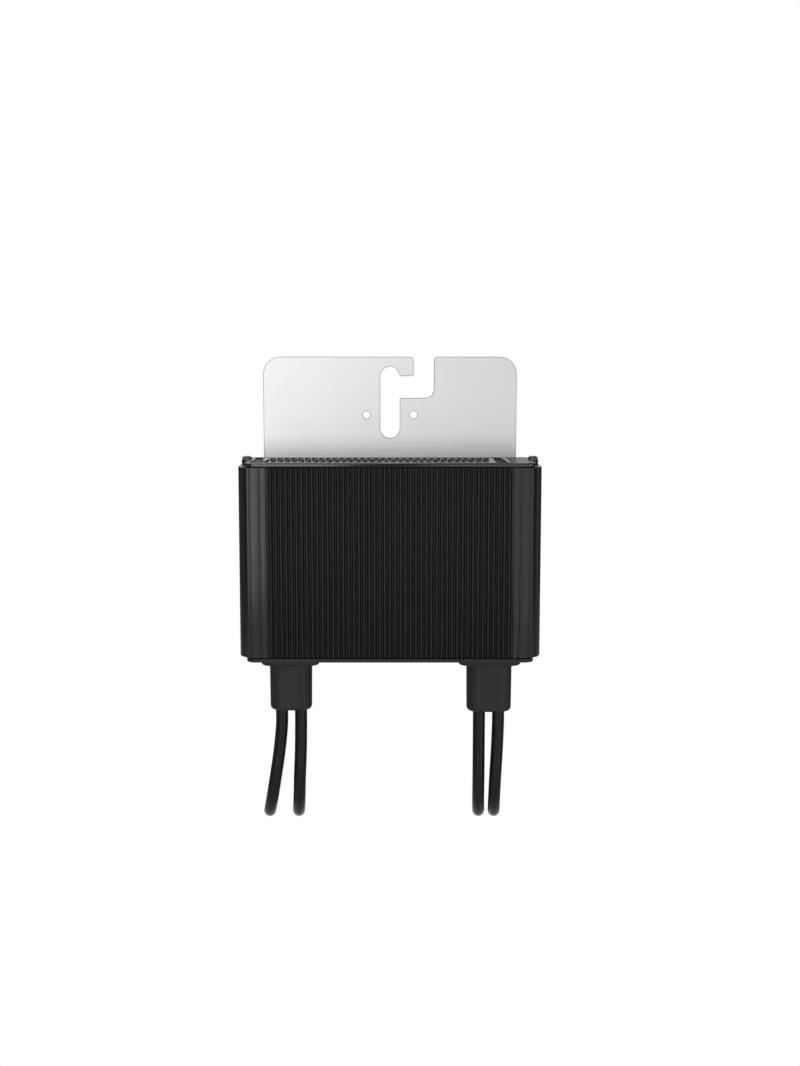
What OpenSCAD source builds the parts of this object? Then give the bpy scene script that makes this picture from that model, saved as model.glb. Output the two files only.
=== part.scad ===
// Power optimizer of a solar panel: a ribbed aluminium housing on a slotted hanging bracket,
// with two twin-lead glands below and its leads folded away behind it.
// Millimetres. +Z is up, +X is right, and the ribbed front faces -Y.
// The origin is the hanging bolt's centre at its seat in the slot, on the bracket's rear face.

/* [Body] */
// Housing width over its sides
body_w = 129; // [120:1:160]
// Depth from the rib tips to the bracket's rear face
body_d = 33.5; // [31:0.5:50]
// Height over both end caps
body_h = 85.5; // [82:0.5:130]
// Wall behind the ribs and at the back
wall = 2.4; // [1.8:0.1:3.2]
// Side wall behind the side grooves
side_wall = 4; // [3.6:0.1:5]

/* [Ribs] */
// Spacing of the front ribs
rib_pitch = 2.2; // [1.8:0.1:4]
// Width of the groove between two ribs
groove_w = 1.1; // [0.7:0.1:1.4]
// Depth of the front grooves
groove_d = 1.3; // [0.8:0.1:2]
// Width of the smooth margin beside the ribs
margin_w = 7.8; // [6.5:0.1:12]
// Width of the stepped front corner
corner_w = 3.9; // [3.2:0.1:6]
// Number of grooves on each side
side_grooves = 6; // [3:1:6]
// Spacing of the side grooves
side_pitch = 3.4; // [2.6:0.1:3.6]
// Depth of the side grooves
side_groove_d = 0.8; // [0.4:0.1:1]

/* [Bracket] */
// Bracket width
bracket_w = 111; // [100:1:114]
// Bracket sheet thickness
bracket_t = 2; // [1.5:0.1:3]
// Height of the bracket above the top cap
bracket_rise = 44; // [40:0.5:60]
// Radius of the bracket's top corners
bracket_corner_r = 7.6; // [3:0.1:12]
// Bolt seat below the bracket's top edge
seat_drop = 8.6; // [7:0.1:12]
// Width of the hanging slot
slot_w = 8.6; // [6.6:0.1:10.5]
// Length of the slot between its two end centres
slot_travel = 22.7; // [18:0.1:26]
// Height of the sideways channel
channel_h = 9.6; // [8:0.1:11]
// Floor of the sideways channel below the bolt seat
channel_drop = 9.4; // [8:0.1:12]
// Width of the entry from the top edge
entry_w = 9; // [8:0.1:11]
// Distance from the slot's centre to the entry's centre
entry_x = 14.8; // [13.5:0.1:20]
// Fillet where the channel meets the entry
entry_fillet = 4; // [1:0.1:4.4]
// Rounding of the entry's mouth
mouth_r = 1.6; // [0.8:0.1:2.5]
// Diameter of the two earthing holes
pin_hole_d = 3.4; // [2.5:0.1:5]
// Spacing of the two earthing holes
pin_hole_spacing = 20.7; // [17:0.1:30]
// Earthing holes below the bolt seat
pin_hole_drop = 16.8; // [14:0.1:20]

/* [Caps] */
// Thickness of an end cap's plate
cap_t = 1.5; // [1.3:0.1:2.5]
// Thickness of the gasket under an end cap
gasket_t = 0.4; // [0.3:0.1:1]
// Chamfer around an end cap
cap_edge = 0.5; // [0.2:0.1:0.7]
// Depth that an end cap's skirt reaches into the housing
skirt_h = 4; // [2:0.5:4.5]
// Spacing of the pockets in the top cap
pocket_pitch = 3; // [2.5:0.5:8]
// Depth of the pockets in the top cap
pocket_d = 0.6; // [0.3:0.1:0.7]

/* [Glands] */
// Distance from the housing's side to a gland's centre
gland_inset = 21.1; // [20:0.1:29]
// Distance from the rib tips to the glands' centre
gland_setback = 17; // [15:0.5:18]
// Width of a gland
gland_w = 18.6; // [17.6:0.1:20]
// Depth of a gland
gland_d = 12; // [10:0.1:13]
// Length of a gland below its flange
gland_h = 20; // [14:0.5:30]
// Width of a gland's flange
flange_w = 25.2; // [23.5:0.1:28]
// Depth of a gland's flange
flange_d = 17; // [15.5:0.1:20]
// Thickness of a gland's flange
flange_t = 3; // [2:0.1:5]
// Thickness of the seal on a gland's flange
seal_t = 0.5; // [0.3:0.1:1]
// Lead diameter
lead_d = 5.2; // [4.6:0.1:5.6]
// Distance between the two leads of a gland
lead_pitch = 8.4; // [7.6:0.1:8.8]

/* [Inside] */
// Circuit board thickness
board_t = 1.6; // [1:0.1:2]
// Height of a power transistor over the board
transistor_t = 4.3; // [3.5:0.1:4.8]
// Thickness of the thermal pad
pad_t = 0.5; // [0.3:0.1:1]
// Height of the parts on the back of the board
part_h = 15; // [11:0.5:15.5]

/* [Hidden] */

// Clearance of pieces that slide together, and a cut's reach past a face
fit = 0.1;
past = 1;

// Levels along Z
cap_top_z = seat_drop - bracket_rise;
base_z = cap_top_z - body_h;
shell_top_z = cap_top_z - cap_t - gasket_t;
shell_base_z = base_z + cap_t + gasket_t;
shell_h = shell_top_z - shell_base_z;
middle_z = (shell_top_z + shell_base_z) / 2;

// Housing section, seen from above
half_w = body_w / 2;
front_y = -body_d;
seat_y = -bracket_t;
margin_x = half_w - corner_w;
groove_count = floor((margin_x - margin_w) / rib_pitch);
rib_edge = 0.2;
groove_draft = 0.1;
margin_lines = [5.8, 1.5];
line_w = 0.7;
line_d = 0.6;
corner_steps = [[0, 0.4], [1.8, 3], [2.5, 3]];
corner_d = 7;
rear_edge = 3.2;
rear_edge_w = 2;
side_groove_w = 1.6;
side_middle_y = (front_y + corner_d - rear_edge) / 2;
channel_half = bracket_w / 2 + fit;

// Cavity
inner_x = half_w - side_groove_d - side_wall;
inner_front_y = front_y + groove_d + wall;
inner_rear_y = seat_y - wall;
inner_corner = 3.6;
inner_rear_corner = 2;
screw_inset = 2.8;
screw_x = half_w - screw_inset;
screw_y = side_middle_y;
boss_r = 3.1;
pad_w = 7;
pad_h = 3;

// Circuit board in its guides
board_front_y = inner_front_y + transistor_t + pad_t;
board_rear_y = board_front_y + board_t;
guide_t = 1.2;
guide_l = 2;
guide_gap = 0.05;
board_end_gap = 0.8;
board_side_gap = 0.3;
board_w = 2 * (inner_x - board_side_gap);
board_h = shell_h - 2 * (skirt_h + board_end_gap);
board_base_z = middle_z - board_h / 2;
board_top_z = middle_z + board_h / 2;

// Parts on the board, with heights from its middle
transistor_w = 10;
transistor_h = 12;
transistor_pitch = 24;
transistor_row = [-1.5, -0.5, 0.5, 1.5];
transistor_rise = 18;
transistor_z = middle_z + transistor_rise;
thermal_edge = 2.5;
thermal_x = transistor_row[3] * transistor_pitch + transistor_w / 2 + thermal_edge;
core_w = 36;
core_h = 30;
core_d = 9;
core_drop = 5;
core_z = middle_z - core_drop;
core_y = board_rear_y + part_h / 2;
leg_w = 9;
window_w = 9;
window_h = 20;
winding_gap = 0.5;
capacitor_w = 18;
capacitor_h = 12;
capacitor_pitch = 16;
capacitor_rise = 12;
capacitor_z = middle_z + capacitor_rise;
capacitor_gap = 2.9;
capacitor_x = inner_x - guide_l - capacitor_gap - capacitor_w / 2;
chip_w = 12;
chip_t = 1.4;
chip_x = 22;
chip_rise = 23;
chip_z = middle_z + chip_rise;
choke_r = 5.5;
choke_turn_r = 4;
choke_x = -20;
choke_rise = 22;
choke_z = middle_z + choke_rise;

// End caps
cap_side = 3.1;
cap_corner_r = 4;
ear_r = 2.4;
cap_rear_y = -0.2;
skirt_gap = 0.2;
skirt_t = 1.6;
pocket_edge = 3;
pocket_front_y = front_y + pocket_edge;
pocket_rear_y = seat_y - pocket_edge;
pocket_left = 7;
pocket_right = 22;
pocket_count = floor((body_w - pocket_left - pocket_right) / pocket_pitch);
pocket_share = 0.74;
gasket_front = 0.4;
gasket_front_y = front_y + groove_d + gasket_front;
gasket_edge = 0.3;
gasket_side = cap_side + gasket_edge;
gasket_rear = 0.6;
gasket_rear_y = seat_y - gasket_rear;
gasket_corner = 4.6;

// Screws
cap_screw_d = 2.5;
cap_screw_l = 12;
cap_head_d = 4.4;
cap_head_h = 1.6;
screw_clear = 0.4;
cap_hole_d = cap_screw_d + screw_clear;
drive_w = 0.7;
drive_l = 2.6;
drive_d = 0.9;
bracket_screw_d = 3;
bracket_head_d = 5.6;
bracket_head_h = 1.3;
screw_end = 1.2;
bracket_screw_l = wall + pad_h - screw_end;
bracket_screw_ends = 15;
bracket_foot_gap = 2;
bracket_base_z = shell_base_z + bracket_foot_gap;

// Glands
gland_x = half_w - gland_inset;
gland_y = front_y + gland_setback;
flange_top_z = base_z - seal_t;
flange_base_z = flange_top_z - flange_t;
gland_base_z = flange_base_z - gland_h;
flange_corner = 5;
flange_edge = 0.8;
// Inset and height of each point of a gland's rounded lower end
gland_tip = [[1.8, 0], [0.7, 0.7], [0.2, 1.9], [0, 3.4]];
seal_inset = 1.5;
neck_wall = 1.2;
neck_w = lead_pitch + lead_d + 2 * neck_wall;
neck_d = lead_d + 2.5 * neck_wall;
lock_t = 2;
lock_rim = 2;
neck_end = 0.5;
neck_top_z = base_z + cap_t + lock_t + neck_end;
bore_d = lead_d + fit;

// Pads that take the bracket's screws, between the two glands' locks
pad_clear = 1.6;
pad_x = gland_x - neck_w / 2 - lock_rim - pad_clear - skirt_gap - skirt_t - pad_w / 2;

// Leads inside the housing
terminal_w = 6.6;
terminal_d = 10;
terminal_h = 8;
terminal_rise = 7;
terminal_base_z = board_base_z + terminal_rise;
bare_l = 4;
tail_top_z = terminal_base_z - bare_l;
conductor_d = 2.4;

// Connectors, along their own axis from the lead's end to the mating end
nut_l = 17;
nut_r = 8.8;
nut_tail_r = 4.6;
nut_cone_l = 5;
nut_edge = 0.6;
nut_wall_end = 4;
grip_count = 12;
grip_r = 0.9;
spigot_r = 6.6;
collar_r = 8.2;
collar_l = 3;
socket_body_r = 7.2;
socket_body_l = 15;
nose_r = 5.6;
nose_l = 17;
shroud_r = 8;
shroud_l = 33;
shroud_depth = 18;
shroud_bore_r = 6.2;
latch_w = 5;
latch_t = 1.6;
latch_l = 6;
latch_root = 0.6;
latch_proud = 0.5;
latch_notch_d = 1.4;
latch_notch_end = 3;
contact_r = 2;
contact_end = 2;
contact_sleeve_r = 2.9;
pin_end = 4;
pin_tip_l = 1.5;
pin_tip_r = 1.2;
seal_r = 0.7;

// Leads outside, and where their ends lie
lead_sides = 10;
exit_points = 5;
lead_r = lead_d / 2;
hank_x = -40;
hank_outer_r = 23.8;
hank_inner_r = 13.2;
hank_top_z = -64;
hank_base_z = -100;
hank_front_y = 3.6;
hank_d = 22.5;
hank_rear_y = hank_front_y + hank_d;
strap_t = 1.2;
strap_h = 12;
strap_gap = 0.05;
strap_slope = 8;
input_socket_at = [36, 14, -114];
input_pin_at = [54.8, 14, -114];
output_socket_at = [-1.6, 14, -69];
output_pin_at = [17.2, 14, -64];

input_inner_route = [[39.2, -16.5, -144.4], [39.2, -16.5, -154], [39.2, -16.5, -165], [39.2, -16.5, -176],
    [39.3, -13.7, -186.5], [39.8, -6, -194.2], [40.5, 4.5, -197], [41.1, 15, -194.2], [41.6, 22.7, -186.5],
    [41.7, 25.5, -176], [41.7, 24.6, -162], [41, 21.6, -149], [39.4, 17.8, -138], [37.8, 15.4, -129],
    [36.4, 14.2, -121], [36, 14, -114], [36, 14, -110]];
input_outer_route = [[47.6, -16.5, -144.4], [47.6, -16.5, -152], [47.2, -16.5, -164], [46.6, -16.5, -176],
    [46.4, -13.7, -186.5], [46.8, -6, -194.2], [47.5, 4.5, -197], [48.5, 15, -194.2], [49.4, 22.7, -186.5],
    [50.2, 25.5, -176], [50.6, 24.6, -162], [51.1, 21.6, -149], [52, 17.8, -138], [53.1, 15.4, -129],
    [54.4, 14.2, -121], [54.8, 14, -114], [54.8, 14, -110]];
output_inner_route = [[-39.2, -16.5, -144.4], [-39.2, -16.5, -152], [-39.4, -16.5, -164],
    [-39.9, -16.5, -176], [-40.3, -13.7, -186.5], [-41, -6, -194.2], [-41.8, 4.5, -197],
    [-42.2, 15, -194.2], [-42.3, 22.7, -186.5], [-42, 25.8, -176], [-41.8, 27, -162], [-42.4, 28, -147],
    [-45.4, 28.7, -131], [-51.2, 28.8, -116], [-55.1, 28.8, -102], [-56, 28.8, -90]];
output_outer_route = [[-47.6, -16.5, -144.4], [-47.6, -16.5, -152], [-48.8, -16.5, -164],
    [-50.6, -16.5, -176], [-52.4, -13.7, -186.5], [-54, -6, -194.2], [-54.8, 4.5, -197],
    [-54.6, 15, -194.2], [-53.5, 22.7, -186.5], [-52, 25.8, -176], [-50.9, 27, -162], [-51.2, 28, -147],
    [-53, 28.7, -131], [-57.4, 28.8, -116], [-60.7, 28.8, -102], [-61.2, 28.8, -90]];
output_inner_end_route = [[-19.6, 6.2, -48.2], [-12.5, 6.8, -50.9], [-6.6, 8.8, -55.4], [-2.8, 12, -61.6],
    [-1.6, 14, -69], [-1.6, 14, -73]];
output_outer_end_route = [[-24.6, 6.2, -42.8], [-12, 6.2, -42.8], [-1, 6.6, -43.2], [8, 8.4, -46.8],
    [14.8, 12, -54.6], [17.2, 14, -64], [17.2, 14, -68]];

function unit(v) = v / norm(v);
function tangent(route, i) =
    unit(route[min(i + 1, len(route) - 1)] - route[max(i - 1, 0)]);
function square_to(v, along) = unit(v - (v * along) * along);
function ring(centre, side, along, r) =
    [for (k = [0:lead_sides - 1])
        let (a = 360 * k / lead_sides)
        centre + r * (cos(a) * side + sin(a) * cross(along, side))];
function both_halves(points) =
    concat(points, [for (i = [len(points) - 1:-1:0]) [-points[i][0], points[i][1]]]);
function from_exit(route, side, lead) =
    let (moved = [side * gland_x + lead * lead_pitch / 2, gland_y, gland_base_z] - route[0])
    [for (i = [0:len(route) - 1]) route[i] + max(0, 1 - i / exit_points) * moved];
function groove_points(x, width, depth, edge, draft) = [
    [x - width / 2 - edge, front_y],
    [x - width / 2, front_y + edge],
    [x - width / 2 + draft, front_y + depth],
    [x + width / 2 - draft, front_y + depth],
    [x + width / 2, front_y + edge],
    [x + width / 2 + edge, front_y]];
function line_points(x) = [
    [x - line_w / 2, front_y],
    [x - line_w / 2, front_y + line_d],
    [x + line_w / 2, front_y + line_d],
    [x + line_w / 2, front_y]];
function side_points(y) = [
    [half_w, y - side_groove_w / 2],
    [half_w - side_groove_d, y - side_groove_w / 2 + groove_draft],
    [half_w - side_groove_d, y + side_groove_w / 2 - groove_draft],
    [half_w, y + side_groove_w / 2]];
function housing_points() = concat(
    [for (i = [0:groove_count - 1])
        each groove_points((i + 0.5) * rib_pitch, groove_w, groove_d, rib_edge, groove_draft)],
    [for (inset = margin_lines) each line_points(margin_x - inset)],
    [[margin_x - corner_steps[0][1], front_y]],
    [for (step = corner_steps) [margin_x + step[0], front_y + step[1]]],
    [[half_w, front_y + corner_d]],
    [for (i = [0:side_grooves - 1])
        each side_points(side_middle_y + (i - (side_grooves - 1) / 2) * side_pitch)],
    [[half_w, -rear_edge],
    [half_w - rear_edge_w, 0],
    [channel_half, 0],
    [channel_half, seat_y]]);
function cavity_points(gap) =
    let (turn = gap * tan(22.5))
    [[inner_x - inner_corner - turn, inner_front_y + gap],
    [inner_x - gap, inner_front_y + inner_corner + turn],
    [inner_x - gap, inner_rear_y - inner_rear_corner - turn],
    [inner_x - inner_rear_corner - turn, inner_rear_y - gap]];
function cap_points(inset) =
    let (x = half_w - cap_side)
    concat(
        [for (a = [-90:15:0])
            [x - cap_corner_r, front_y + cap_corner_r] + (cap_corner_r - inset) * [cos(a), sin(a)]],
        [[x - inset, cap_rear_y - rear_edge],
        [x - rear_edge_w, cap_rear_y - inset]]);
function gasket_points() = [
    [half_w - gasket_side - gasket_corner, gasket_front_y],
    [half_w - gasket_side, gasket_front_y + gasket_corner],
    [half_w - gasket_side, gasket_rear_y - rear_edge],
    [half_w - gasket_side - rear_edge, gasket_rear_y]];
function toward(centre, points, share) =
    [for (p = points) centre + share * (p - centre)];
function middle(points) = (points[0] + points[1] + points[2]) / 3;

// Shared shapes
module across(x, y, z, d, l) {
    translate([x, y, z])
        rotate([90, 0, 0])
            cylinder(h = l, d = d, center = true, $fn = 48);
}

module bar(x0, x1, y0, y1, z0, z1) {
    translate([x0, y0, z0])
        cube([x1 - x0, y1 - y0, z1 - z0]);
}

module on_both_sides() {
    for (side = [-1, 1])
        scale([side, 1, 1])
            children();
}

module pill(width, depth, height) {
    hull()
        for (side = [-1, 1])
            translate([side * (width - depth) / 2, 0, 0])
                cylinder(h = height, d = depth, $fn = 32);
}

module cavity(gap) {
    difference() {
        polygon(both_halves(cavity_points(gap)));
        for (side = [-1, 1]) {
            translate([side * screw_x, screw_y])
                circle(r = boss_r + gap, $fn = 48);
            translate([side * pad_x, inner_rear_y])
                square([pad_w + 2 * gap, 2 * (pad_h + gap)], center = true);
            for (y = [board_front_y - guide_gap - guide_t / 2, board_rear_y + guide_gap + guide_t / 2])
                translate([side * inner_x, y])
                    square([2 * (guide_l + gap), guide_t + 2 * gap], center = true);
        }
    }
}

module at_cap_screws() {
    for (side = [-1, 1])
        translate([side * screw_x, screw_y])
            children();
}

module cap_screw_rounds(d, z0, z1) {
    translate([0, 0, z0])
        at_cap_screws()
            cylinder(h = z1 - z0, d = d, $fn = 32);
}

module end_cap() {
    difference() {
        union() {
            hull() {
                translate([0, 0, -cap_t])
                    linear_extrude(cap_t - cap_edge)
                        polygon(both_halves(cap_points(0)));
                translate([0, 0, -cap_t])
                    linear_extrude(cap_t)
                        polygon(both_halves(cap_points(cap_edge)));
            }
            cap_screw_rounds(2 * ear_r, -cap_t, 0);
            translate([0, 0, -cap_t - gasket_t - skirt_h])
                linear_extrude(gasket_t + skirt_h + cap_edge)
                    difference() {
                        cavity(skirt_gap);
                        cavity(skirt_gap + skirt_t);
                    }
        }
        bar(-channel_half, channel_half, seat_y, past, -cap_t - past, past);
        cap_screw_rounds(cap_hole_d, -cap_t - past, past);
    }
}

module end_gasket() {
    linear_extrude(gasket_t)
        difference() {
            union() {
                polygon(both_halves(gasket_points()));
                at_cap_screws()
                    circle(r = ear_r - gasket_edge, $fn = 48);
            }
            cavity(0);
            at_cap_screws()
                circle(d = cap_hole_d, $fn = 32);
        }
}

module cap_screw() {
    difference() {
        union() {
            translate([0, 0, -cap_screw_l])
                cylinder(h = cap_screw_l, d = cap_screw_d, $fn = 32);
            rotate_extrude($fn = 48)
                polygon(concat([[0, 0], [cap_head_d / 2, 0]],
                    [for (a = [0:15:90]) [cap_head_d / 2 * cos(a), cap_head_h / 2 * (1 + sin(a))]]));
        }
        for (turn = [0, 90])
            rotate(turn)
                translate([-drive_l / 2, -drive_w / 2, cap_head_h - drive_d])
                    cube([drive_l, drive_w, drive_d + past]);
    }
}

module at_bracket_screws() {
    for (side = [-1, 1])
        for (z = [shell_top_z - bracket_screw_ends, shell_base_z + bracket_screw_ends])
            translate([side * pad_x, 0, z])
                rotate([90, 0, 0])
                    children();
}

module at_leads() {
    for (gland = [-1, 1])
        for (lead = [-1, 1])
            translate([gland * gland_x + lead * lead_pitch / 2, gland_y, 0])
                children();
}

module gland() {
    difference() {
        union() {
            hull()
                for (x = [-1, 1])
                    for (y = [-1, 1])
                        translate([x * (flange_w / 2 - flange_corner),
                            y * (flange_d / 2 - flange_corner), 0]) {
                            translate([0, 0, flange_base_z + flange_edge])
                                cylinder(h = flange_t - flange_edge, r = flange_corner, $fn = 32);
                            translate([0, 0, flange_base_z])
                                cylinder(h = flange_t, r = flange_corner - flange_edge, $fn = 32);
                        }
            hull()
                for (x = [-1, 1])
                    translate([x * (gland_w - gland_d) / 2, 0, gland_base_z])
                        rotate_extrude($fn = 32)
                            polygon(concat([[0, 0]],
                                [for (p = gland_tip) [gland_d / 2 - p[0], p[1]]],
                                [[gland_d / 2, gland_h], [0, gland_h]]));
            translate([0, 0, flange_top_z - flange_edge])
                pill(neck_w, neck_d, neck_top_z - flange_top_z + flange_edge);
        }
        for (side = [-1, 1])
            translate([side * lead_pitch / 2, 0, gland_base_z - past])
                cylinder(h = neck_top_z - gland_base_z + 2 * past, d = bore_d, $fn = 32);
    }
}

module lead_tube(route) {
    sides = [for (i = 0, side = [0, 1, 0]; i < len(route);
        side = square_to(side, tangent(route, min(i + 1, len(route) - 1))), i = i + 1) side];
    rings = [for (i = [0:len(route) - 1])
        ring(route[i], square_to(sides[i], tangent(route, i)), tangent(route, i), lead_r)];
    last = lead_sides * (len(route) - 1);
    polyhedron(
        points = [for (points = rings) each points],
        faces = concat(
            [[for (k = [0:lead_sides - 1]) k]],
            [for (i = [0:len(route) - 2])
                for (k = [0:lead_sides - 1])
                    let (a = i * lead_sides + k, b = i * lead_sides + (k + 1) % lead_sides)
                    [a, a + lead_sides, b + lead_sides, b]],
            [[for (k = [lead_sides - 1:-1:0]) last + k]]));
}

module connector_nut() {
    difference() {
        rotate_extrude($fn = 60)
            polygon([[lead_r + fit, 0], [nut_tail_r, 0], [nut_r - nut_edge, nut_cone_l],
                [nut_r, nut_cone_l + 2 * nut_edge], [nut_r, nut_l - 2 * nut_edge], [nut_r - nut_edge, nut_l],
                [spigot_r + fit, nut_l], [spigot_r + fit, nut_wall_end], [lead_r + fit, nut_wall_end]]);
        for (i = [0:grip_count - 1])
            rotate(360 * i / grip_count)
                translate([nut_r + grip_r / 2, 0, nut_cone_l])
                    cylinder(h = nut_l, r = grip_r, $fn = 24);
    }
}

module connector_back() {
    translate([0, 0, nut_wall_end])
        cylinder(h = nut_l - nut_wall_end, r = spigot_r, $fn = 60);
    translate([0, 0, nut_l])
        cylinder(h = collar_l, r = collar_r, $fn = 60);
}

module connector_bore(l) {
    translate([0, 0, nut_wall_end - past])
        cylinder(h = l + past, r = contact_sleeve_r + fit, $fn = 48);
}

module socket_body() {
    front = nut_l + collar_l + socket_body_l;
    difference() {
        union() {
            connector_back();
            translate([0, 0, nut_l])
                cylinder(h = collar_l + socket_body_l, r = socket_body_r, $fn = 60);
            translate([0, 0, nut_l])
                cylinder(h = front - nut_l + nose_l, r = nose_r, $fn = 60);
        }
        connector_bore(front + nose_l);
        on_both_sides()
            bar(socket_body_r - latch_notch_d, socket_body_r + past, -latch_w / 2, latch_w / 2,
                front - latch_l - latch_notch_end, front - latch_notch_end);
        translate([0, 0, front + seal_r])
            rotate_extrude($fn = 60)
                translate([nose_r, 0])
                    circle(r = seal_r, $fn = 16);
    }
}

module pin_body() {
    front = nut_l + collar_l + shroud_l;
    difference() {
        union() {
            connector_back();
            translate([0, 0, nut_l])
                cylinder(h = front - nut_l, r = shroud_r - latch_t, $fn = 60);
            translate([0, 0, nut_l])
                cylinder(h = front - nut_l - latch_l, r = shroud_r, $fn = 60);
            on_both_sides()
                difference() {
                    bar(shroud_r - latch_t - latch_root, shroud_r + latch_proud, -latch_w / 2, latch_w / 2,
                        front - latch_l - past, front + latch_l);
                    translate([0, 0, front - past])
                        cylinder(h = latch_l + 2 * past, r = shroud_bore_r, $fn = 60);
                }
        }
        connector_bore(front);
        translate([0, 0, front - shroud_depth])
            cylinder(h = shroud_depth + past, r = shroud_bore_r, $fn = 60);
    }
}

module pointing_down() {
    rotate([180, 0, 0])
        children();
}

// Pieces
module mounting_bracket() {
    middle_y = seat_y / 2;
    cut = bracket_t + 2 * past;
    side_x = bracket_w / 2;
    channel_base = -channel_drop;
    channel_top = channel_base + channel_h;
    entry_left = entry_x - entry_w / 2;
    entry_right = entry_x + entry_w / 2;
    color("#c9cbcd")
        difference() {
            union() {
                bar(-side_x, side_x, seat_y, 0, bracket_base_z, seat_drop - bracket_corner_r);
                bar(-side_x + bracket_corner_r, side_x - bracket_corner_r, seat_y, 0,
                    seat_drop - 2 * bracket_corner_r, seat_drop);
                for (side = [-1, 1])
                    across(side * (side_x - bracket_corner_r), middle_y, seat_drop - bracket_corner_r,
                        2 * bracket_corner_r, bracket_t);
            }
            for (z = [0, -slot_travel])
                across(0, middle_y, z, slot_w, cut);
            bar(-slot_w / 2, slot_w / 2, seat_y - past, past, -slot_travel, 0);
            bar(0, entry_right - entry_fillet, seat_y - past, past, channel_base, channel_top);
            bar(entry_left, entry_right, seat_y - past, past, channel_base + entry_fillet, seat_drop + past);
            across(entry_right - entry_fillet, middle_y, channel_base + entry_fillet, 2 * entry_fillet, cut);
            difference() {
                bar(entry_left - mouth_r, entry_right + mouth_r, seat_y - past, past,
                    seat_drop - mouth_r, seat_drop + past);
                for (x = [entry_left - mouth_r, entry_right + mouth_r])
                    across(x, middle_y, seat_drop - mouth_r, 2 * mouth_r, cut + past);
            }
            for (side = [-1, 1])
                across(side * pin_hole_spacing / 2, middle_y, -pin_hole_drop, pin_hole_d, cut);
            at_bracket_screws() {
                cylinder(h = bracket_t + past, d = bracket_screw_d + 2 * fit, $fn = 48);
                cylinder(h = bracket_head_h, d1 = bracket_head_d, d2 = bracket_screw_d, $fn = 48);
            }
        }
}

module bracket_screws() {
    color("#8d9093")
        at_bracket_screws()
            difference() {
                union() {
                    cylinder(h = bracket_head_h, d1 = bracket_head_d, d2 = bracket_screw_d, $fn = 48);
                    cylinder(h = bracket_t + bracket_screw_l, d = bracket_screw_d, $fn = 48);
                }
                translate([0, 0, -past])
                    cylinder(h = past + drive_d, d = drive_l, $fn = 6);
            }
}

module housing() {
    color("#1b1c1e")
        difference() {
            translate([0, 0, shell_base_z])
                linear_extrude(shell_h)
                    difference() {
                        polygon(both_halves(housing_points()));
                        cavity(0);
                    }
            cap_screw_rounds(cap_screw_d, cap_top_z - cap_screw_l - past, shell_top_z + past);
            cap_screw_rounds(cap_screw_d, shell_base_z - past, base_z + cap_screw_l + past);
            at_bracket_screws()
                cylinder(h = bracket_t + bracket_screw_l + fit, d = bracket_screw_d, $fn = 48);
        }
}

module top_cap() {
    color("#202123")
        translate([0, 0, cap_top_z])
            difference() {
                end_cap();
                for (i = [0:pocket_count - 1]) {
                    x = pocket_left - half_w + i * pocket_pitch;
                    front = [[x, pocket_front_y], [x + pocket_pitch, pocket_front_y],
                        [x + pocket_pitch / 2, pocket_rear_y]];
                    rear = [[x + pocket_pitch / 2, pocket_rear_y], [x + pocket_pitch, pocket_front_y],
                        [x + pocket_pitch * 1.5, pocket_rear_y]];
                    for (corners = [front, rear])
                        translate([0, 0, -pocket_d])
                            linear_extrude(pocket_d + past)
                                polygon(toward(middle(corners), corners, pocket_share));
                }
            }
}

module bottom_cap() {
    color("#202123")
        translate([0, 0, base_z])
            difference() {
                mirror([0, 0, 1])
                    end_cap();
                for (side = [-1, 1])
                    translate([side * gland_x, gland_y, -past])
                        pill(neck_w + 2 * fit, neck_d + 2 * fit, cap_t + 2 * past);
            }
}

module top_gasket() {
    color("#101010")
        translate([0, 0, shell_top_z])
            end_gasket();
}

module bottom_gasket() {
    color("#101010")
        translate([0, 0, shell_base_z - gasket_t])
            end_gasket();
}

module top_screws() {
    color("#2a2b2d")
        for (side = [-1, 1])
            translate([side * screw_x, screw_y, cap_top_z])
                cap_screw();
}

module bottom_screws() {
    color("#2a2b2d")
        for (side = [-1, 1])
            translate([side * screw_x, screw_y, base_z])
                pointing_down()
                    cap_screw();
}

module output_gland() {
    color("#353638")
        translate([-gland_x, gland_y, 0])
            gland();
}

module input_gland() {
    color("#353638")
        translate([gland_x, gland_y, 0])
            gland();
}

module gland_seals() {
    color("#141414")
        for (side = [-1, 1])
            translate([side * gland_x, gland_y, flange_top_z])
                difference() {
                    pill(flange_w - 2 * seal_inset, flange_d - 2 * seal_inset, seal_t);
                    translate([0, 0, -past])
                        pill(neck_w + 2 * fit, neck_d + 2 * fit, seal_t + 2 * past);
                }
}

module gland_locks() {
    color("#2b2c2e")
        for (side = [-1, 1])
            translate([side * gland_x, gland_y, base_z + cap_t])
                difference() {
                    pill(neck_w + 2 * lock_rim, neck_d + 2 * lock_rim, lock_t);
                    translate([0, 0, -past])
                        pill(neck_w + 2 * fit, neck_d + 2 * fit, lock_t + 2 * past);
                }
}

module circuit_board() {
    color("#1f5b3a")
        bar(-board_w / 2, board_w / 2, board_front_y, board_rear_y, board_base_z, board_top_z);
}

module power_transistors() {
    color("#1d1d1f")
        for (place = transistor_row)
            translate([place * transistor_pitch, board_front_y - transistor_t / 2, transistor_z])
                cube([transistor_w, transistor_t, transistor_h], center = true);
}

module thermal_pad() {
    half_h = transistor_h / 2 + thermal_edge;
    color("#8f9aa6")
        bar(-thermal_x, thermal_x, inner_front_y, inner_front_y + pad_t,
            transistor_z - half_h, transistor_z + half_h);
}

module inductor_core() {
    color("#3a3a3c")
        translate([0, core_y, core_z])
            difference() {
                cube([core_w, core_d, core_h], center = true);
                for (side = [-1, 1])
                    translate([side * (leg_w + window_w) / 2, 0, 0])
                        cube([window_w, core_d + 2 * past, window_h], center = true);
            }
}

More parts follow.
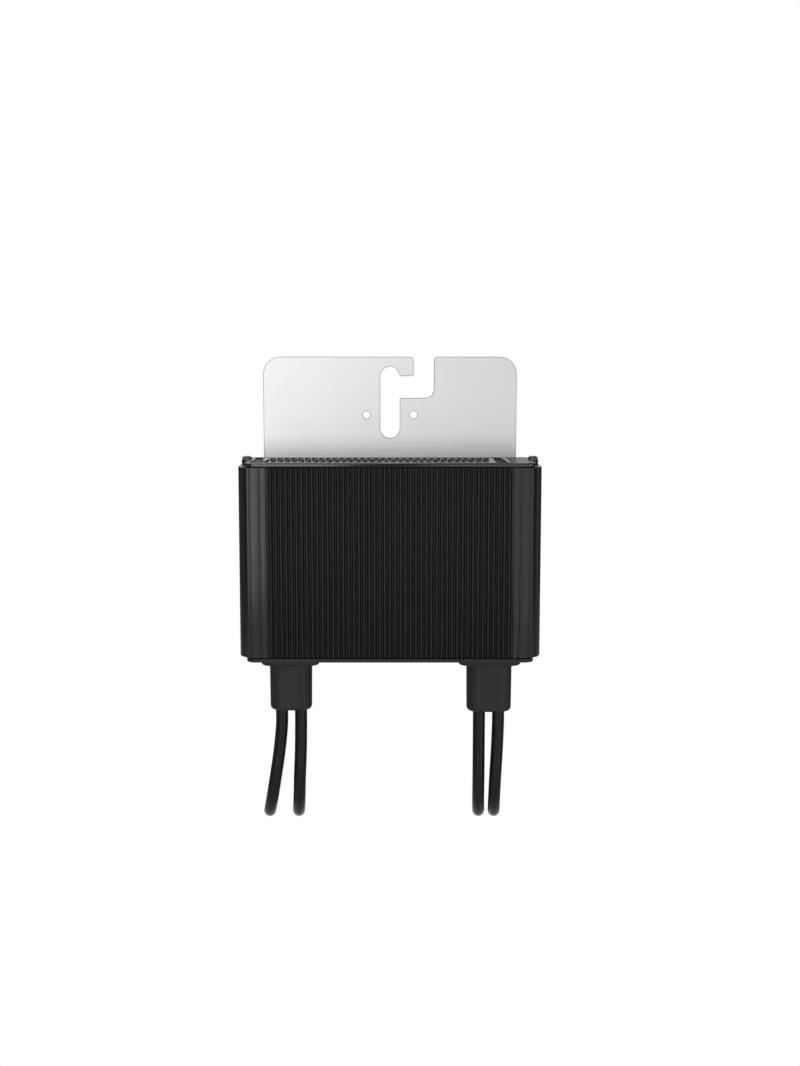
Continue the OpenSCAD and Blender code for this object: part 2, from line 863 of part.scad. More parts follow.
module inductor_winding() {
    winding_h = window_h - 2 * winding_gap;
    color("#b8682f")
        translate([0, core_y, core_z])
            difference() {
                cube([leg_w + 2 * (window_w - winding_gap), part_h, winding_h], center = true);
                cube([leg_w + 2 * fit, core_d + 2 * fit, winding_h + 2 * past], center = true);
            }
}

module film_capacitors() {
    color("#b8a23c")
        for (side = [-1, 1])
            for (place = [-0.5, 0.5])
                translate([side * capacitor_x, core_y, capacitor_z + place * capacitor_pitch])
                    cube([capacitor_w, part_h, capacitor_h], center = true);
}

module controller_chip() {
    color("#19191b")
        translate([chip_x, board_rear_y + chip_t / 2, chip_z])
            cube([chip_w, chip_t, chip_w], center = true);
}

module signal_choke() {
    color("#54606a")
        translate([choke_x, board_rear_y + choke_turn_r, choke_z])
            rotate([90, 0, 0])
                rotate_extrude($fn = 48)
                    translate([choke_r, 0])
                        circle(r = choke_turn_r, $fn = 24);
}

module lead_terminals() {
    color("#c8a45a")
        difference() {
            at_leads()
                translate([0, board_rear_y - gland_y + terminal_d / 2, terminal_base_z + terminal_h / 2])
                    cube([terminal_w, terminal_d, terminal_h], center = true);
            at_leads()
                translate([0, 0, terminal_base_z - past])
                    cylinder(h = terminal_h, d = conductor_d, $fn = 32);
        }
}

module lead_tails() {
    color("#151515")
        at_leads()
            translate([0, 0, gland_base_z])
                cylinder(h = tail_top_z - gland_base_z, d = lead_d, $fn = 32);
}

module lead_conductors() {
    color("#b87333")
        at_leads()
            translate([0, 0, tail_top_z])
                cylinder(h = bare_l + terminal_h - past, d = conductor_d, $fn = 32);
}

module input_lead_inner() {
    color("#161616")
        lead_tube(from_exit(input_inner_route, 1, -1));
}

module input_lead_outer() {
    color("#161616")
        lead_tube(from_exit(input_outer_route, 1, 1));
}

module output_lead_inner() {
    color("#161616")
        lead_tube(from_exit(output_inner_route, -1, 1));
}

module output_lead_outer() {
    color("#161616")
        lead_tube(from_exit(output_outer_route, -1, -1));
}

module output_end_inner() {
    color("#161616")
        lead_tube(output_inner_end_route);
}

module output_end_outer() {
    color("#161616")
        lead_tube(output_outer_end_route);
}

module output_hank() {
    color("#1a1a1a")
        translate([hank_x, hank_rear_y, 0])
            rotate([90, 0, 0])
                linear_extrude(hank_d)
                    difference() {
                        hull()
                            for (z = [hank_base_z, hank_top_z])
                                translate([0, z])
                                    circle(r = hank_outer_r, $fn = 60);
                        hull()
                            for (z = [hank_base_z, hank_top_z])
                                translate([0, z])
                                    circle(r = hank_inner_r, $fn = 60);
                    }
}

module hank_strap() {
    x = hank_outer_r + strap_gap;
    y0 = hank_front_y - strap_gap;
    y1 = hank_rear_y + lead_d + 3 * strap_gap;
    color("#232426")
        translate([hank_x, 0, (hank_top_z + hank_base_z - strap_h) / 2])
            linear_extrude(strap_h)
                difference() {
                    polygon([[-x - strap_t, y0], [-x, y0 - strap_t], [x, y0 - strap_t], [x + strap_t, y0],
                        [x + strap_t, hank_rear_y], [x - strap_slope + strap_t / 2, y1 + strap_t],
                        [-x, y1 + strap_t], [-x - strap_t, y1]]);
                    polygon([[-x, y0], [x, y0], [x, hank_rear_y], [x - strap_slope, y1], [-x, y1]]);
                }
}

module input_socket_body() {
    color("#1c1c1e")
        translate(input_socket_at)
            socket_body();
}

module input_socket_nut() {
    color("#1c1c1e")
        translate(input_socket_at)
            connector_nut();
}

module input_pin_body() {
    color("#1c1c1e")
        translate(input_pin_at)
            rotate(90)
                pin_body();
}

module input_pin_nut() {
    color("#1c1c1e")
        translate(input_pin_at)
            connector_nut();
}

module output_socket_body() {
    color("#1c1c1e")
        translate(output_socket_at)
            pointing_down()
                socket_body();
}

module output_socket_nut() {
    color("#1c1c1e")
        translate(output_socket_at)
            pointing_down()
                connector_nut();
}

module output_pin_body() {
    color("#1c1c1e")
        translate(output_pin_at)
            pointing_down()
                rotate(90)
                    pin_body();
}

module output_pin_nut() {
    color("#1c1c1e")
        translate(output_pin_at)
            pointing_down()
                connector_nut();
}

module socket_contact() {
    contact_top = nut_l + collar_l + socket_body_l + nose_l - contact_end;
    difference() {
        translate([0, 0, nut_wall_end])
            cylinder(h = contact_top - nut_wall_end, r = contact_sleeve_r, $fn = 48);
        translate([0, 0, contact_top - nose_l])
            cylinder(h = nose_l + past, r = contact_r + fit, $fn = 48);
    }
}

module pin_contact() {
    pin_base = nut_l + collar_l + shroud_l - shroud_depth;
    translate([0, 0, nut_wall_end])
        cylinder(h = pin_base - nut_wall_end, r = contact_sleeve_r, $fn = 48);
    translate([0, 0, pin_base])
        cylinder(h = shroud_depth - pin_end, r = contact_r, $fn = 48);
    translate([0, 0, pin_base + shroud_depth - pin_end])
        cylinder(h = pin_tip_l, r1 = contact_r, r2 = pin_tip_r, $fn = 48);
}

module socket_contacts() {
    color("#c9b074") {
        translate(input_socket_at)
            socket_contact();
        translate(output_socket_at)
            pointing_down()
                socket_contact();
    }
}

module pin_contacts() {
    color("#c9b074") {
        translate(input_pin_at)
            pin_contact();
        translate(output_pin_at)
            pointing_down()
                pin_contact();
    }
}

module socket_seal() {
    translate([0, 0, nut_l + collar_l + socket_body_l + seal_r])
        rotate_extrude($fn = 60)
            translate([nose_r, 0])
                circle(r = seal_r, $fn = 16);
}

module socket_seals() {
    color("#3f4144") {
        translate(input_socket_at)
            socket_seal();
        translate(output_socket_at)
            pointing_down()
                socket_seal();
    }
}

mounting_bracket();
bracket_screws();
housing();
top_cap();
bottom_cap();
top_gasket();
bottom_gasket();
top_screws();
bottom_screws();
output_gland();
input_gland();
gland_seals();
gland_locks();
circuit_board();
power_transistors();
thermal_pad();
inductor_core();
inductor_winding();
film_capacitors();
controller_chip();
signal_choke();
lead_terminals();
lead_tails();
lead_conductors();
input_lead_inner();
input_lead_outer();
output_lead_inner();
output_lead_outer();
output_end_inner();
output_end_outer();
output_hank();
hank_strap();
input_socket_body();
input_socket_nut();
input_pin_body();
input_pin_nut();
output_socket_body();
output_socket_nut();
output_pin_body();
output_pin_nut();
socket_contacts();
pin_contacts();
socket_seals();
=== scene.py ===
"""Looks of a solar power optimizer: its pieces, their finishes and the studio around them.

Pieces are drawn in millimetres and placed in metres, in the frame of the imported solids: +Z is up, the ribbed
front faces -Y, and the origin is the hanging bolt's seat on the bracket's rear face.
"""

import logging
import math
from collections.abc import Iterable, Sequence
from dataclasses import dataclass, field
from enum import Enum

import bmesh
import bpy
from bpy.types import ID, Material, Mesh, NodeOutputs, NodeSocket, NodeTree, Object
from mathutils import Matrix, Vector
from mathutils.geometry import tessellate_polygon


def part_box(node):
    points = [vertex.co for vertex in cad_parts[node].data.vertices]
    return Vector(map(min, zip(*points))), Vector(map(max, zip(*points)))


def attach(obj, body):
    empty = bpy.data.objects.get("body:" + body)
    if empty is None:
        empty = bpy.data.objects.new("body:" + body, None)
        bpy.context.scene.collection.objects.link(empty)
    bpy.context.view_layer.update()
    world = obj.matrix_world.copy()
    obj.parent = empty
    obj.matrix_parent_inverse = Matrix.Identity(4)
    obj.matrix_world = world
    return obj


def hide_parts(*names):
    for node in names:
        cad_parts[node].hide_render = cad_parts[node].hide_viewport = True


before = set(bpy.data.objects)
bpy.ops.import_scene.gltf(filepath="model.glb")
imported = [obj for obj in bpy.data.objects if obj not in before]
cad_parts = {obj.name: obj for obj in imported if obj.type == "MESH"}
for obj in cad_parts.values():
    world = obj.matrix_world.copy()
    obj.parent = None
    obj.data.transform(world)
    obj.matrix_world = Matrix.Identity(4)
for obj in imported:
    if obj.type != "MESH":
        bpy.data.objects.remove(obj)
log = logging.getLogger("power_optimizer")

MM = 0.001
BODY = "root"
GLANDS = ("output_gland", "input_gland")
# Largest turns between two points of an arc
ARC_STEP = math.radians(12)
FINE_STEP = math.radians(7.5)
COARSE_STEP = math.radians(60)
# Angle from which an edge stays sharp
SHARP = math.radians(40)
# What the two arcs of a round end leave between them
ARC_GAP = 0.01

Pair = tuple[float, float]
# Across, along and up
Point = tuple[float, float, float]
# Across, along and the corner's radius
Corner = tuple[float, float, float]
Loop = list[Vector]
# Height of each level, and how far its outline lies inside the first one
Levels = list[Pair]


def linear(hex_colour: str) -> tuple[float, ...]:
    """Turn an sRGB colour, a hash and six hex digits, into linear light with an alpha of 1."""
    channels = [int(hex_colour[i:i + 2], 16) / 255 for i in (1, 3, 5)]
    return (*(c / 12.92 if c <= 0.04045 else ((c + 0.055) / 1.055) ** 2.4 for c in channels), 1.0)


def add_node(
    tree: NodeTree,
    kind: str,
    settings: dict[str | int, object] | None = None,
    links: dict[str | int, NodeSocket] | None = None,
) -> NodeOutputs:
    """Add a node to a shader or geometry tree.

    Args:
        tree: The tree that takes the node.
        kind: Blender's name for the node's type.
        settings: Properties of the node, or else values of its inputs, by name or number.
        links: Sockets that feed its inputs, by the input's name or number.

    Returns:
        The new node's outputs.
    """
    made = tree.nodes.new(kind)
    for name, value in (settings or {}).items():
        if isinstance(name, str) and hasattr(made, name):
            setattr(made, name, value)
        else:
            made.inputs[name].default_value = value
    for name, source in (links or {}).items():
        tree.links.new(source, made.inputs[name])
    return made.outputs


def calculate(tree: NodeTree, operation: str, *values: float | NodeSocket) -> NodeSocket:
    """Add a math node to a shader tree.

    Args:
        tree: The tree that takes the node.
        operation: Blender's name for the operation.
        values: What goes in, as numbers or as sockets.

    Returns:
        The result.
    """
    links = {i: value for i, value in enumerate(values) if isinstance(value, NodeSocket)}
    numbers = {i: value for i, value in enumerate(values) if i not in links}
    return add_node(tree, "ShaderNodeMath", {"operation": operation, **numbers}, links)[0]


def blank_material(name: str) -> Material:
    """Make a material that has no nodes yet.

    Args:
        name: The material's name.

    Returns:
        The material.
    """
    made = bpy.data.materials.new(name)
    made.use_nodes = True
    made.node_tree.nodes.clear()
    return made


def add_object(name: str, data: ID) -> Object:
    """Put data in the scene as an object.

    Args:
        name: The object's name.
        data: Its mesh, camera or lamp.

    Returns:
        The object.
    """
    made = bpy.data.objects.new(name, data)
    bpy.context.scene.collection.objects.link(made)
    return made


class Grain(Enum):
    """The way a surface's marks run, as how densely its pattern lies along X, Y and Z."""

    EVEN = (1.0, 1.0, 1.0)
    ACROSS = (0.02, 1.0, 1.0)
    UPRIGHT = (1.0, 1.0, 0.01)


@dataclass(frozen=True)
class Finish:
    """A surface as it was made: two close colours that drift into each other, a grain, and its gloss."""

    name: str
    colour: str
    shade: str
    roughness: float
    spread: float = 0.08
    metallic: float = 0.0
    ior: float = 1.5
    grain_mm: float = 0.3
    grain: Grain = Grain.EVEN
    grain_detail: float = 3.0
    relief_mm: float = 0.02
    relief_strength: float = 0.6
    drift_mm: float = 25.0
    drift_detail: float = 2.0

    def material(self) -> Material:
        """Return this finish as a material, made once."""
        return bpy.data.materials.get(self.name) or self.make()

    def make(self) -> Material:
        """Build the material's nodes.

        Returns:
            The new material.
        """
        made = blank_material(self.name)
        tree = made.node_tree
        place = add_node(tree, "ShaderNodeTexCoord")["Object"]
        fine = self.pattern(tree, place)
        slow = add_node(
            tree, "ShaderNodeTexNoise", {"Scale": 1 / (self.drift_mm * MM), "Detail": self.drift_detail},
            {"Vector": place},
        )
        both = add_node(tree, "ShaderNodeMix", {"Factor": 0.5}, {2: fine, 3: slow[0]})[0]
        colours = {6: linear(self.colour), 7: linear(self.shade)}
        tone = add_node(tree, "ShaderNodeMix", {"data_type": "RGBA", **colours}, {0: both})
        gloss = add_node(
            tree, "ShaderNodeMapRange",
            {"To Min": self.roughness - self.spread, "To Max": self.roughness + self.spread}, {"Value": both},
        )
        relief = add_node(
            tree, "ShaderNodeBump", {"Strength": self.relief_strength, "Distance": self.relief_mm * MM},
            {"Height": fine},
        )
        surface = add_node(
            tree, "ShaderNodeBsdfPrincipled", {"Metallic": self.metallic, "IOR": self.ior},
            {"Base Color": tone[2], "Roughness": gloss[0], "Normal": relief[0]},
        )
        add_node(tree, "ShaderNodeOutputMaterial", {}, {"Surface": surface[0]})
        return made

    def pattern(self, tree: NodeTree, place: NodeSocket) -> NodeSocket:
        """Draw the fine grain.

        Args:
            tree: The material's tree.
            place: Object coordinates.

        Returns:
            The grain's height, from 0 to 1.
        """
        density = [share / (self.grain_mm * MM) for share in self.grain.value]
        spread = add_node(tree, "ShaderNodeMapping", {"Scale": density}, {"Vector": place})
        settings = {"Scale": 1.0, "Detail": self.grain_detail}
        return add_node(tree, "ShaderNodeTexNoise", settings, {"Vector": spread[0]})[0]


@dataclass(frozen=True)
class WovenFinish(Finish):
    """A narrow webbing, woven over and under, which shows as small raised squares."""

    wander: float = 0.4
    # How far Blender's wave texture turns along one unit of its scale, in radians
    wave_rate: float = 20.0

    def pattern(self, tree: NodeTree, place: NodeSocket) -> NodeSocket:
        """Draw the weave as two crossed waves.

        Args:
            tree: The material's tree.
            place: Object coordinates.

        Returns:
            The weave's height, from 0 to 1.
        """
        scale = 2 * math.pi / (self.grain_mm * MM) / self.wave_rate
        waves = [
            add_node(
                tree, "ShaderNodeTexWave",
                {"bands_direction": axis, "Scale": scale, "Distortion": self.wander}, {"Vector": place},
            )["Fac"]
            for axis in ("DIAGONAL", "Z")
        ]
        return calculate(tree, "MULTIPLY", *waves)


# Rolled aluminium sheet: satin, with faint lines along the rolling
SHEET = Finish("rolled_aluminium", "#d9d9da", "#d1d1d3", 0.42, 0.05, metallic=1.0, grain_mm=0.5,
               grain=Grain.ACROSS, relief_mm=0.002, drift_mm=40)
# Where the sheet was sheared: duller than its faces, and darker, which is painted shade standing in for the
# dark reflections along the cut edges
SHEARED_PAINTED_SHADE = Finish("sheared_aluminium_painted_shade", "#8d8f92", "#76787b", 0.5, metallic=1.0, relief_mm=0.01)
# Black anodised extrusion: satin, with die lines along its length
ANODISED = Finish("black_anodised", "#0b0b0c", "#111112", 0.24, 0.06, ior=1.51, grain_mm=0.35,
                  grain=Grain.UPRIGHT, relief_mm=0.003, drift_mm=30)
# Its ribs, which the die draws rougher: uneven from rib to rib
DRAWN = Finish("drawn_anodised", "#060606", "#161616", 0.42, 0.2, ior=1.38, grain_mm=1.1, grain=Grain.UPRIGHT,
               relief_mm=0.006, drift_mm=6)
# Filled nylon from a fine mould: satin
MOULDED = Finish("moulded_nylon", "#121212", "#191919", 0.42, 0.06, ior=1.42, grain_mm=0.6, relief_mm=0.004)
# Its outer walls and the bars between its pockets, moulded on polished steel: glossy
POLISHED = Finish("polished_nylon", "#0e0e0e", "#141414", 0.12, 0.03, ior=1.62, grain_mm=0.6, relief_mm=0.002)
# Its pockets, moulded on eroded steel: matt, and darker than the rest of the cap, which is painted shade in
# the pockets
ERODED_PAINTED_SHADE = Finish("eroded_nylon_painted_shade", "#0b0b0c", "#131314", 0.7, 0.1, grain_mm=0.4, relief_mm=0.03)
# Soft moulded gland: matt and a little grey
SOFT_MOULDED = Finish("soft_moulding", "#1a1a1a", "#202020", 0.5, ior=1.4, grain_mm=0.35)
# Cross-linked jacket of the leads: satin black
JACKET = Finish("crosslinked_jacket", "#0a0a0a", "#101010", 0.34, 0.06, ior=1.34, grain_mm=0.6,
                relief_mm=0.01)
# Connector housings: spark-eroded mould texture, matt black
CONNECTOR = Finish("connector_moulding", "#17181a", "#1f2022", 0.48)
# Hook-and-loop webbing
WEBBING = WovenFinish("strap_webbing", "#121213", "#2e2f31", 0.85, grain_mm=1.1, relief_mm=0.15)
# Sewing thread: a lighter twist
THREAD = Finish("sewing_thread", "#3b3c3f", "#4a4b4e", 0.7, relief_mm=0.03)
# Gaskets and seals: matt rubber with a dusty bloom
RUBBER = Finish("seal_rubber", "#0b0b0c", "#141415", 0.75, 0.1, grain_mm=0.5, relief_mm=0.015)
# Blackened steel screws
BLACK_STEEL = Finish("blackened_steel", "#58595b", "#646567", 0.4, metallic=0.8, relief_mm=0.005)
# Plated steel screws
PLATED_STEEL = Finish("plated_steel", "#a4a7aa", "#8e9194", 0.3, metallic=1.0, relief_mm=0.005)
# Solder mask over glass laminate
LAMINATE = Finish("solder_mask", "#17462d", "#1f5b3a", 0.4, grain_mm=1.2)
# Moulded chip resin
RESIN = Finish("chip_resin", "#17171a", "#222226", 0.6, grain_mm=0.4)
# Filled silicone pad
SILICONE = Finish("silicone_pad", "#8492a2", "#96a1ad", 0.7, grain_mm=0.5)
# Sintered ferrite
FERRITE = Finish("sintered_ferrite", "#2c2c2e", "#3b3b3e", 0.6, 0.1, grain_mm=0.4, relief_mm=0.03)
# Enamelled copper
COPPER = Finish("enamelled_copper", "#b2602a", "#8e4718", 0.3, metallic=1.0, grain_mm=0.8, grain=Grain.ACROSS,
                relief_mm=0.05)
# Film capacitor boxes
FILM_BOX = Finish("capacitor_box", "#b29a36", "#c4b04e", 0.4, 0.06, grain_mm=0.6, relief_mm=0.01)
# Tinned brass contacts
TINNED = Finish("tinned_brass", "#c7b27c", "#b39c61", 0.28, metallic=1.0, relief_mm=0.004)


def dress(finish: Finish, nodes: Iterable[str]) -> None:
    """Give solids that keep their own shape a finish.

    Args:
        finish: What they are made of.
        nodes: Names of the solids.
    """
    for name in nodes:
        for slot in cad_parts[name].material_slots:
            slot.material = finish.material()
        log.info("dressed %s in %s", name, finish.name)


def place_mesh(name: str, mesh: Mesh, stands_for: Sequence[str]) -> Object:
    """Put a finished mesh in the scene as a piece of the part.

    Args:
        name: The piece's name.
        mesh: Its mesh, already in place.
        stands_for: The solids that it replaces.

    Returns:
        The piece.
    """
    piece = add_object(name, mesh)
    mesh.name = name
    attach(piece, BODY)
    if stands_for:
        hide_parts(*stands_for)
    log.info("built %s", name)
    return piece


def box_mm(node: str) -> tuple[Vector, Vector]:
    """Find a solid's lowest and highest corner in millimetres."""
    low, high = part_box(node)
    return Vector(low) / MM, Vector(high) / MM


def rounded(corners: Sequence[Corner], step: float = ARC_STEP) -> Loop:
    """Walk round a polygon and turn each corner on its own radius.

    Args:
        corners: Across, along and radius of each corner.
        step: Largest turn between two points of an arc.

    Returns:
        The outline's points.
    """
    loop = []
    for i, (x, y, radius) in enumerate(corners):
        here = Vector((x, y))
        back = (Vector(corners[i - 1][:2]) - here).normalized()
        on = (Vector(corners[(i + 1) % len(corners)][:2]) - here).normalized()
        if radius == 0:
            loop.append(here)
            continue
        half = back.angle(on) / 2
        centre = here + (back + on).normalized() * radius / math.sin(half)
        start = here + back * radius / math.tan(half) - centre
        end = here + on * radius / math.tan(half) - centre
        turn = math.atan2(start.x * end.y - start.y * end.x, start.dot(end))
        steps = max(2, math.ceil(abs(turn) / step))
        for k in range(steps + 1):
            c, s = math.cos(turn * k / steps), math.sin(turn * k / steps)
            loop.append(centre + Vector((start.x * c - start.y * s, start.x * s + start.y * c)))
    return loop


def mirrored(half: Sequence[Corner]) -> list[Corner]:
    """Add the left half to the corners of a right half."""
    return [*half, *((-x, y, r) for x, y, r in reversed(half))]


def circle(x: float, y: float, radius: float, count: int = 40) -> Loop:
    """Draw a circle of the given number of points."""
    turns = [2 * math.pi * i / count for i in range(count)]
    return [Vector((x + radius * math.cos(a), y + radius * math.sin(a))) for a in turns]


def oblong(x: float, y: float, width: float, depth: float, radius: float) -> Loop:
    """Draw a rectangle about a centre, with round corners."""
    w, d = width / 2, depth / 2
    return rounded([(x + a * w, y + b * d, radius) for a, b in ((-1, -1), (1, -1), (1, 1), (-1, 1))])


def inset(loop: Loop, depth: float) -> Loop:
    """Move an outline to the left of its own direction.

    Args:
        loop: The outline.
        depth: How far each edge moves.

    Returns:
        The moved outline.
    """
    moved = []
    for i, here in enumerate(loop):
        into = (here - loop[i - 1]).normalized()
        out = (loop[(i + 1) % len(loop)] - here).normalized()
        sides = Vector((-into.y, into.x)), Vector((-out.y, out.x))
        moved.append(here + (sides[0] + sides[1]) * depth / (1 + sides[0].dot(sides[1])))
    return moved


def wound(loop: Loop, anticlockwise: bool) -> Loop:
    """Turn an outline's direction to the one asked for."""
    area = sum(a.x * b.y - b.x * a.y for a, b in zip(loop, [*loop[1:], loop[0]]))
    return loop if (area > 0) == anticlockwise else loop[::-1]


def quarter_turn(steps: int) -> list[float]:
    """List the angles of a quarter turn in even steps."""
    return [math.pi / 2 * i / steps for i in range(steps + 1)]


def rims(low: float, high: float, low_round: float, high_round: float, steps: int = 4) -> Levels:
    """List the levels of a block with rounded rims.

    Args:
        low: Height of its foot.
        high: Height of its top.
        low_round: Radius of the foot's rim.
        high_round: Radius of the top's rim.
        steps: Pieces of each round.

    Returns:
        Height and inset of each level.
    """
    turn = [(1 - math.cos(a), 1 - math.sin(a)) for a in quarter_turn(steps)]
    foot = [(low + low_round * rise, low_round * inward) for rise, inward in turn]
    top = [(high - high_round * rise, high_round * inward) for rise, inward in reversed(turn)]
    return (foot if low_round else [(low, 0.0)]) + (top if high_round else [(high, 0.0)])


class Axis(Enum):
    """The way a block is drawn up, as where its across, along and height values go in X, Y and Z."""

    UP = (0, 1, 2)
    BACK = (0, 2, 1)


class Shape:
    """A mesh being made of blocks, in millimetres."""

    def __init__(self) -> None:
        """Start with nothing."""
        self.blocks = bmesh.new()

    def block(
        self, loops: Sequence[Loop], levels: Levels, axis: Axis = Axis.UP, end_slot: int = 0,
        wall_slot: int = 0, opening_share: float = 1.0,
    ) -> None:
        """Draw outlines up through levels and close both ends.

        Args:
            loops: The outline, then its openings.
            levels: Height of each level and how far its outlines lie inside the material.
            axis: The way up.
            end_slot: The finish of the two ends.
            wall_slot: The finish of the walls.
            opening_share: How much of the levels' insets the openings take.
        """
        rings = []
        for i, loop in enumerate(loops):
            turned, share = wound(loop, i == 0), opening_share if i else 1.0
            rings.append([[self.corner(point, height, axis) for point in inset(turned, share * depth)]
                          for height, depth in levels])
        for ring in rings:
            for low, high in zip(ring, ring[1:]):
                for i in range(len(low)):
                    wall = self.blocks.faces.new((low[i - 1], low[i], high[i], high[i - 1]))
                    wall.smooth = True
                    wall.material_index = wall_slot
        for level in (0, -1):
            corners = [corner for ring in rings for corner in ring[level]]
            for triangle in tessellate_polygon([[corner.co for corner in ring[level]] for ring in rings]):
                self.blocks.faces.new([corners[i] for i in triangle]).material_index = end_slot

    def corner(self, point: Vector, height: float, axis: Axis) -> bmesh.types.BMVert:
        """Add a point of an outline to the mesh, at a height."""
        place = dict(zip(axis.value, (point.x, point.y, height)))
        return self.blocks.verts.new([place[i] for i in range(3)])

    def mesh(self, *finishes: Finish) -> Mesh:
        """End the mesh: in metres, faces outward and edges sharp where they are.

        Args:
            finishes: Its finishes, in the order of the blocks' slots.

        Returns:
            The mesh.
        """
        bmesh.ops.recalc_face_normals(self.blocks, faces=self.blocks.faces)
        bmesh.ops.scale(self.blocks, vec=(MM, MM, MM), verts=self.blocks.verts)
        for edge in self.blocks.edges:
            edge.smooth = all(f.smooth for f in edge.link_faces) and edge.calc_face_angle(math.pi) < SHARP
        made = bpy.data.meshes.new("shape")
        self.blocks.to_mesh(made)
        self.blocks.free()
        for finish in finishes:
            made.materials.append(finish.material())
        return made


def joined(first: Mesh, second: Mesh) -> Mesh:
    """Put two meshes into one, in which each keeps its finishes.

    Args:
        first: The mesh that takes the other one in.
        second: The mesh that goes in.

    Returns:
        The first mesh.
    """
    both = bmesh.new()
    both.from_mesh(first)
    count = len(both.faces)
    both.from_mesh(second)
    for i, face in enumerate(both.faces):
        if i >= count:
            face.material_index += len(first.materials)
    both.to_mesh(first)
    both.free()
    for material in second.materials:
        first.materials.append(material)
    return first


def grow(tree: NodeTree, seed_mesh: Mesh, inputs: dict[str, object]) -> Mesh:
    """Run a geometry tree on a mesh and keep the result as a plain mesh.

    Args:
        tree: The geometry tree.
        seed_mesh: What the tree starts from.
        inputs: Values of its inputs, by their names.

    Returns:
        The mesh that the tree makes.
    """
    holder = add_object("holder", seed_mesh)
    modifier = holder.modifiers.new("tree", "NODES")
    modifier.node_group = tree
    for item in tree.interface.items_tree:
        if item.in_out == "INPUT" and item.name in inputs:
            modifier[item.identifier] = inputs[item.name]
    view = bpy.context.evaluated_depsgraph_get()
    made = bpy.data.meshes.new_from_object(holder.evaluated_get(view))
    bpy.data.objects.remove(holder)
    return made


def geometry_tree(name: str, inputs: dict[str, str]) -> tuple[NodeTree, NodeOutputs]:
    """Start a geometry tree.

    Args:
        name: The tree's name.
        inputs: Names of its inputs beside the geometry, with their socket types.

    Returns:
        The tree and what it is given.
    """
    tree = bpy.data.node_groups.new(name, "GeometryNodeTree")
    tree.interface.new_socket("Geometry", in_out="INPUT", socket_type="NodeSocketGeometry")
    for label, kind in inputs.items():
        tree.interface.new_socket(label, in_out="INPUT", socket_type=kind)
    tree.interface.new_socket("Geometry", in_out="OUTPUT", socket_type="NodeSocketGeometry")
    return tree, add_node(tree, "NodeGroupInput")


def end_tree(tree: NodeTree, geometry: NodeSocket, material: NodeSocket) -> None:
    """Close a geometry tree with real geometry and its material.

    Args:
        tree: The geometry tree.
        geometry: What it made.
        material: The input that carries the material.
    """
    real = add_node(tree, "GeometryNodeRealizeInstances", {}, {0: geometry})
    dressed = add_node(tree, "GeometryNodeSetMaterial", {}, {"Geometry": real[0], "Material": material})
    add_node(tree, "NodeGroupOutput", {}, {0: dressed[0]})


def row_tree() -> NodeTree:
    """Build, once, the tree that repeats a shape along a straight row.

    Returns:
        The tree.
    """
    ready = bpy.data.node_groups.get("row")
    if ready:
        return ready
    tree, given = geometry_tree(
        "row", {"Count": "NodeSocketInt", "Step": "NodeSocketVector", "Material": "NodeSocketMaterial"}
    )
    places = add_node(tree, "GeometryNodeMeshLine", {}, {"Count": given["Count"], "Offset": given["Step"]})
    row = add_node(
        tree, "GeometryNodeInstanceOnPoints", {}, {"Points": places[0], "Instance": given["Geometry"]}
    )
    end_tree(tree, row[0], given["Material"])
    return tree


def row_of(shape: Shape, finish: Finish, count: int, step: Point) -> Mesh:
    """Repeat a shape in a row that starts with it, by steps in millimetres, and return all as one mesh."""
    inputs = {"Count": count, "Step": Vector(step) * MM, "Material": finish.material()}
    return grow(row_tree(), shape.mesh(finish), inputs)


@dataclass(frozen=True)
class PhotoCamera:
    """The photograph's view: straight on, from a little above."""

    target: Point = (0.0, -0.0335, -0.06495)
    distance: float = 0.640
    pitch: float = math.radians(7.4)
    focal_px: float = 1514.5
    frame_px: tuple[int, int] = (800, 1066)
    middle_px: float = 390.0
    sensor: float = 36.0
    near: float = 0.01

    def build(self) -> None:
        """Make the scene's camera."""
        data = bpy.data.cameras.new("photo_camera")
        data.sensor_width = self.sensor
        data.lens = self.focal_px / self.frame_px[1] * self.sensor
        data.shift_x = (self.frame_px[0] / 2 - self.middle_px) / self.frame_px[1]
        data.clip_start = self.near
        camera = add_object("photo_camera", data)
        back = Vector((0.0, -math.cos(self.pitch), math.sin(self.pitch))) * self.distance
        camera.location = Vector(self.target) + back
        camera.rotation_euler = (math.pi / 2 - self.pitch, 0.0, 0.0)
        bpy.context.scene.camera = camera
        log.info("camera %.0f mm", data.lens)


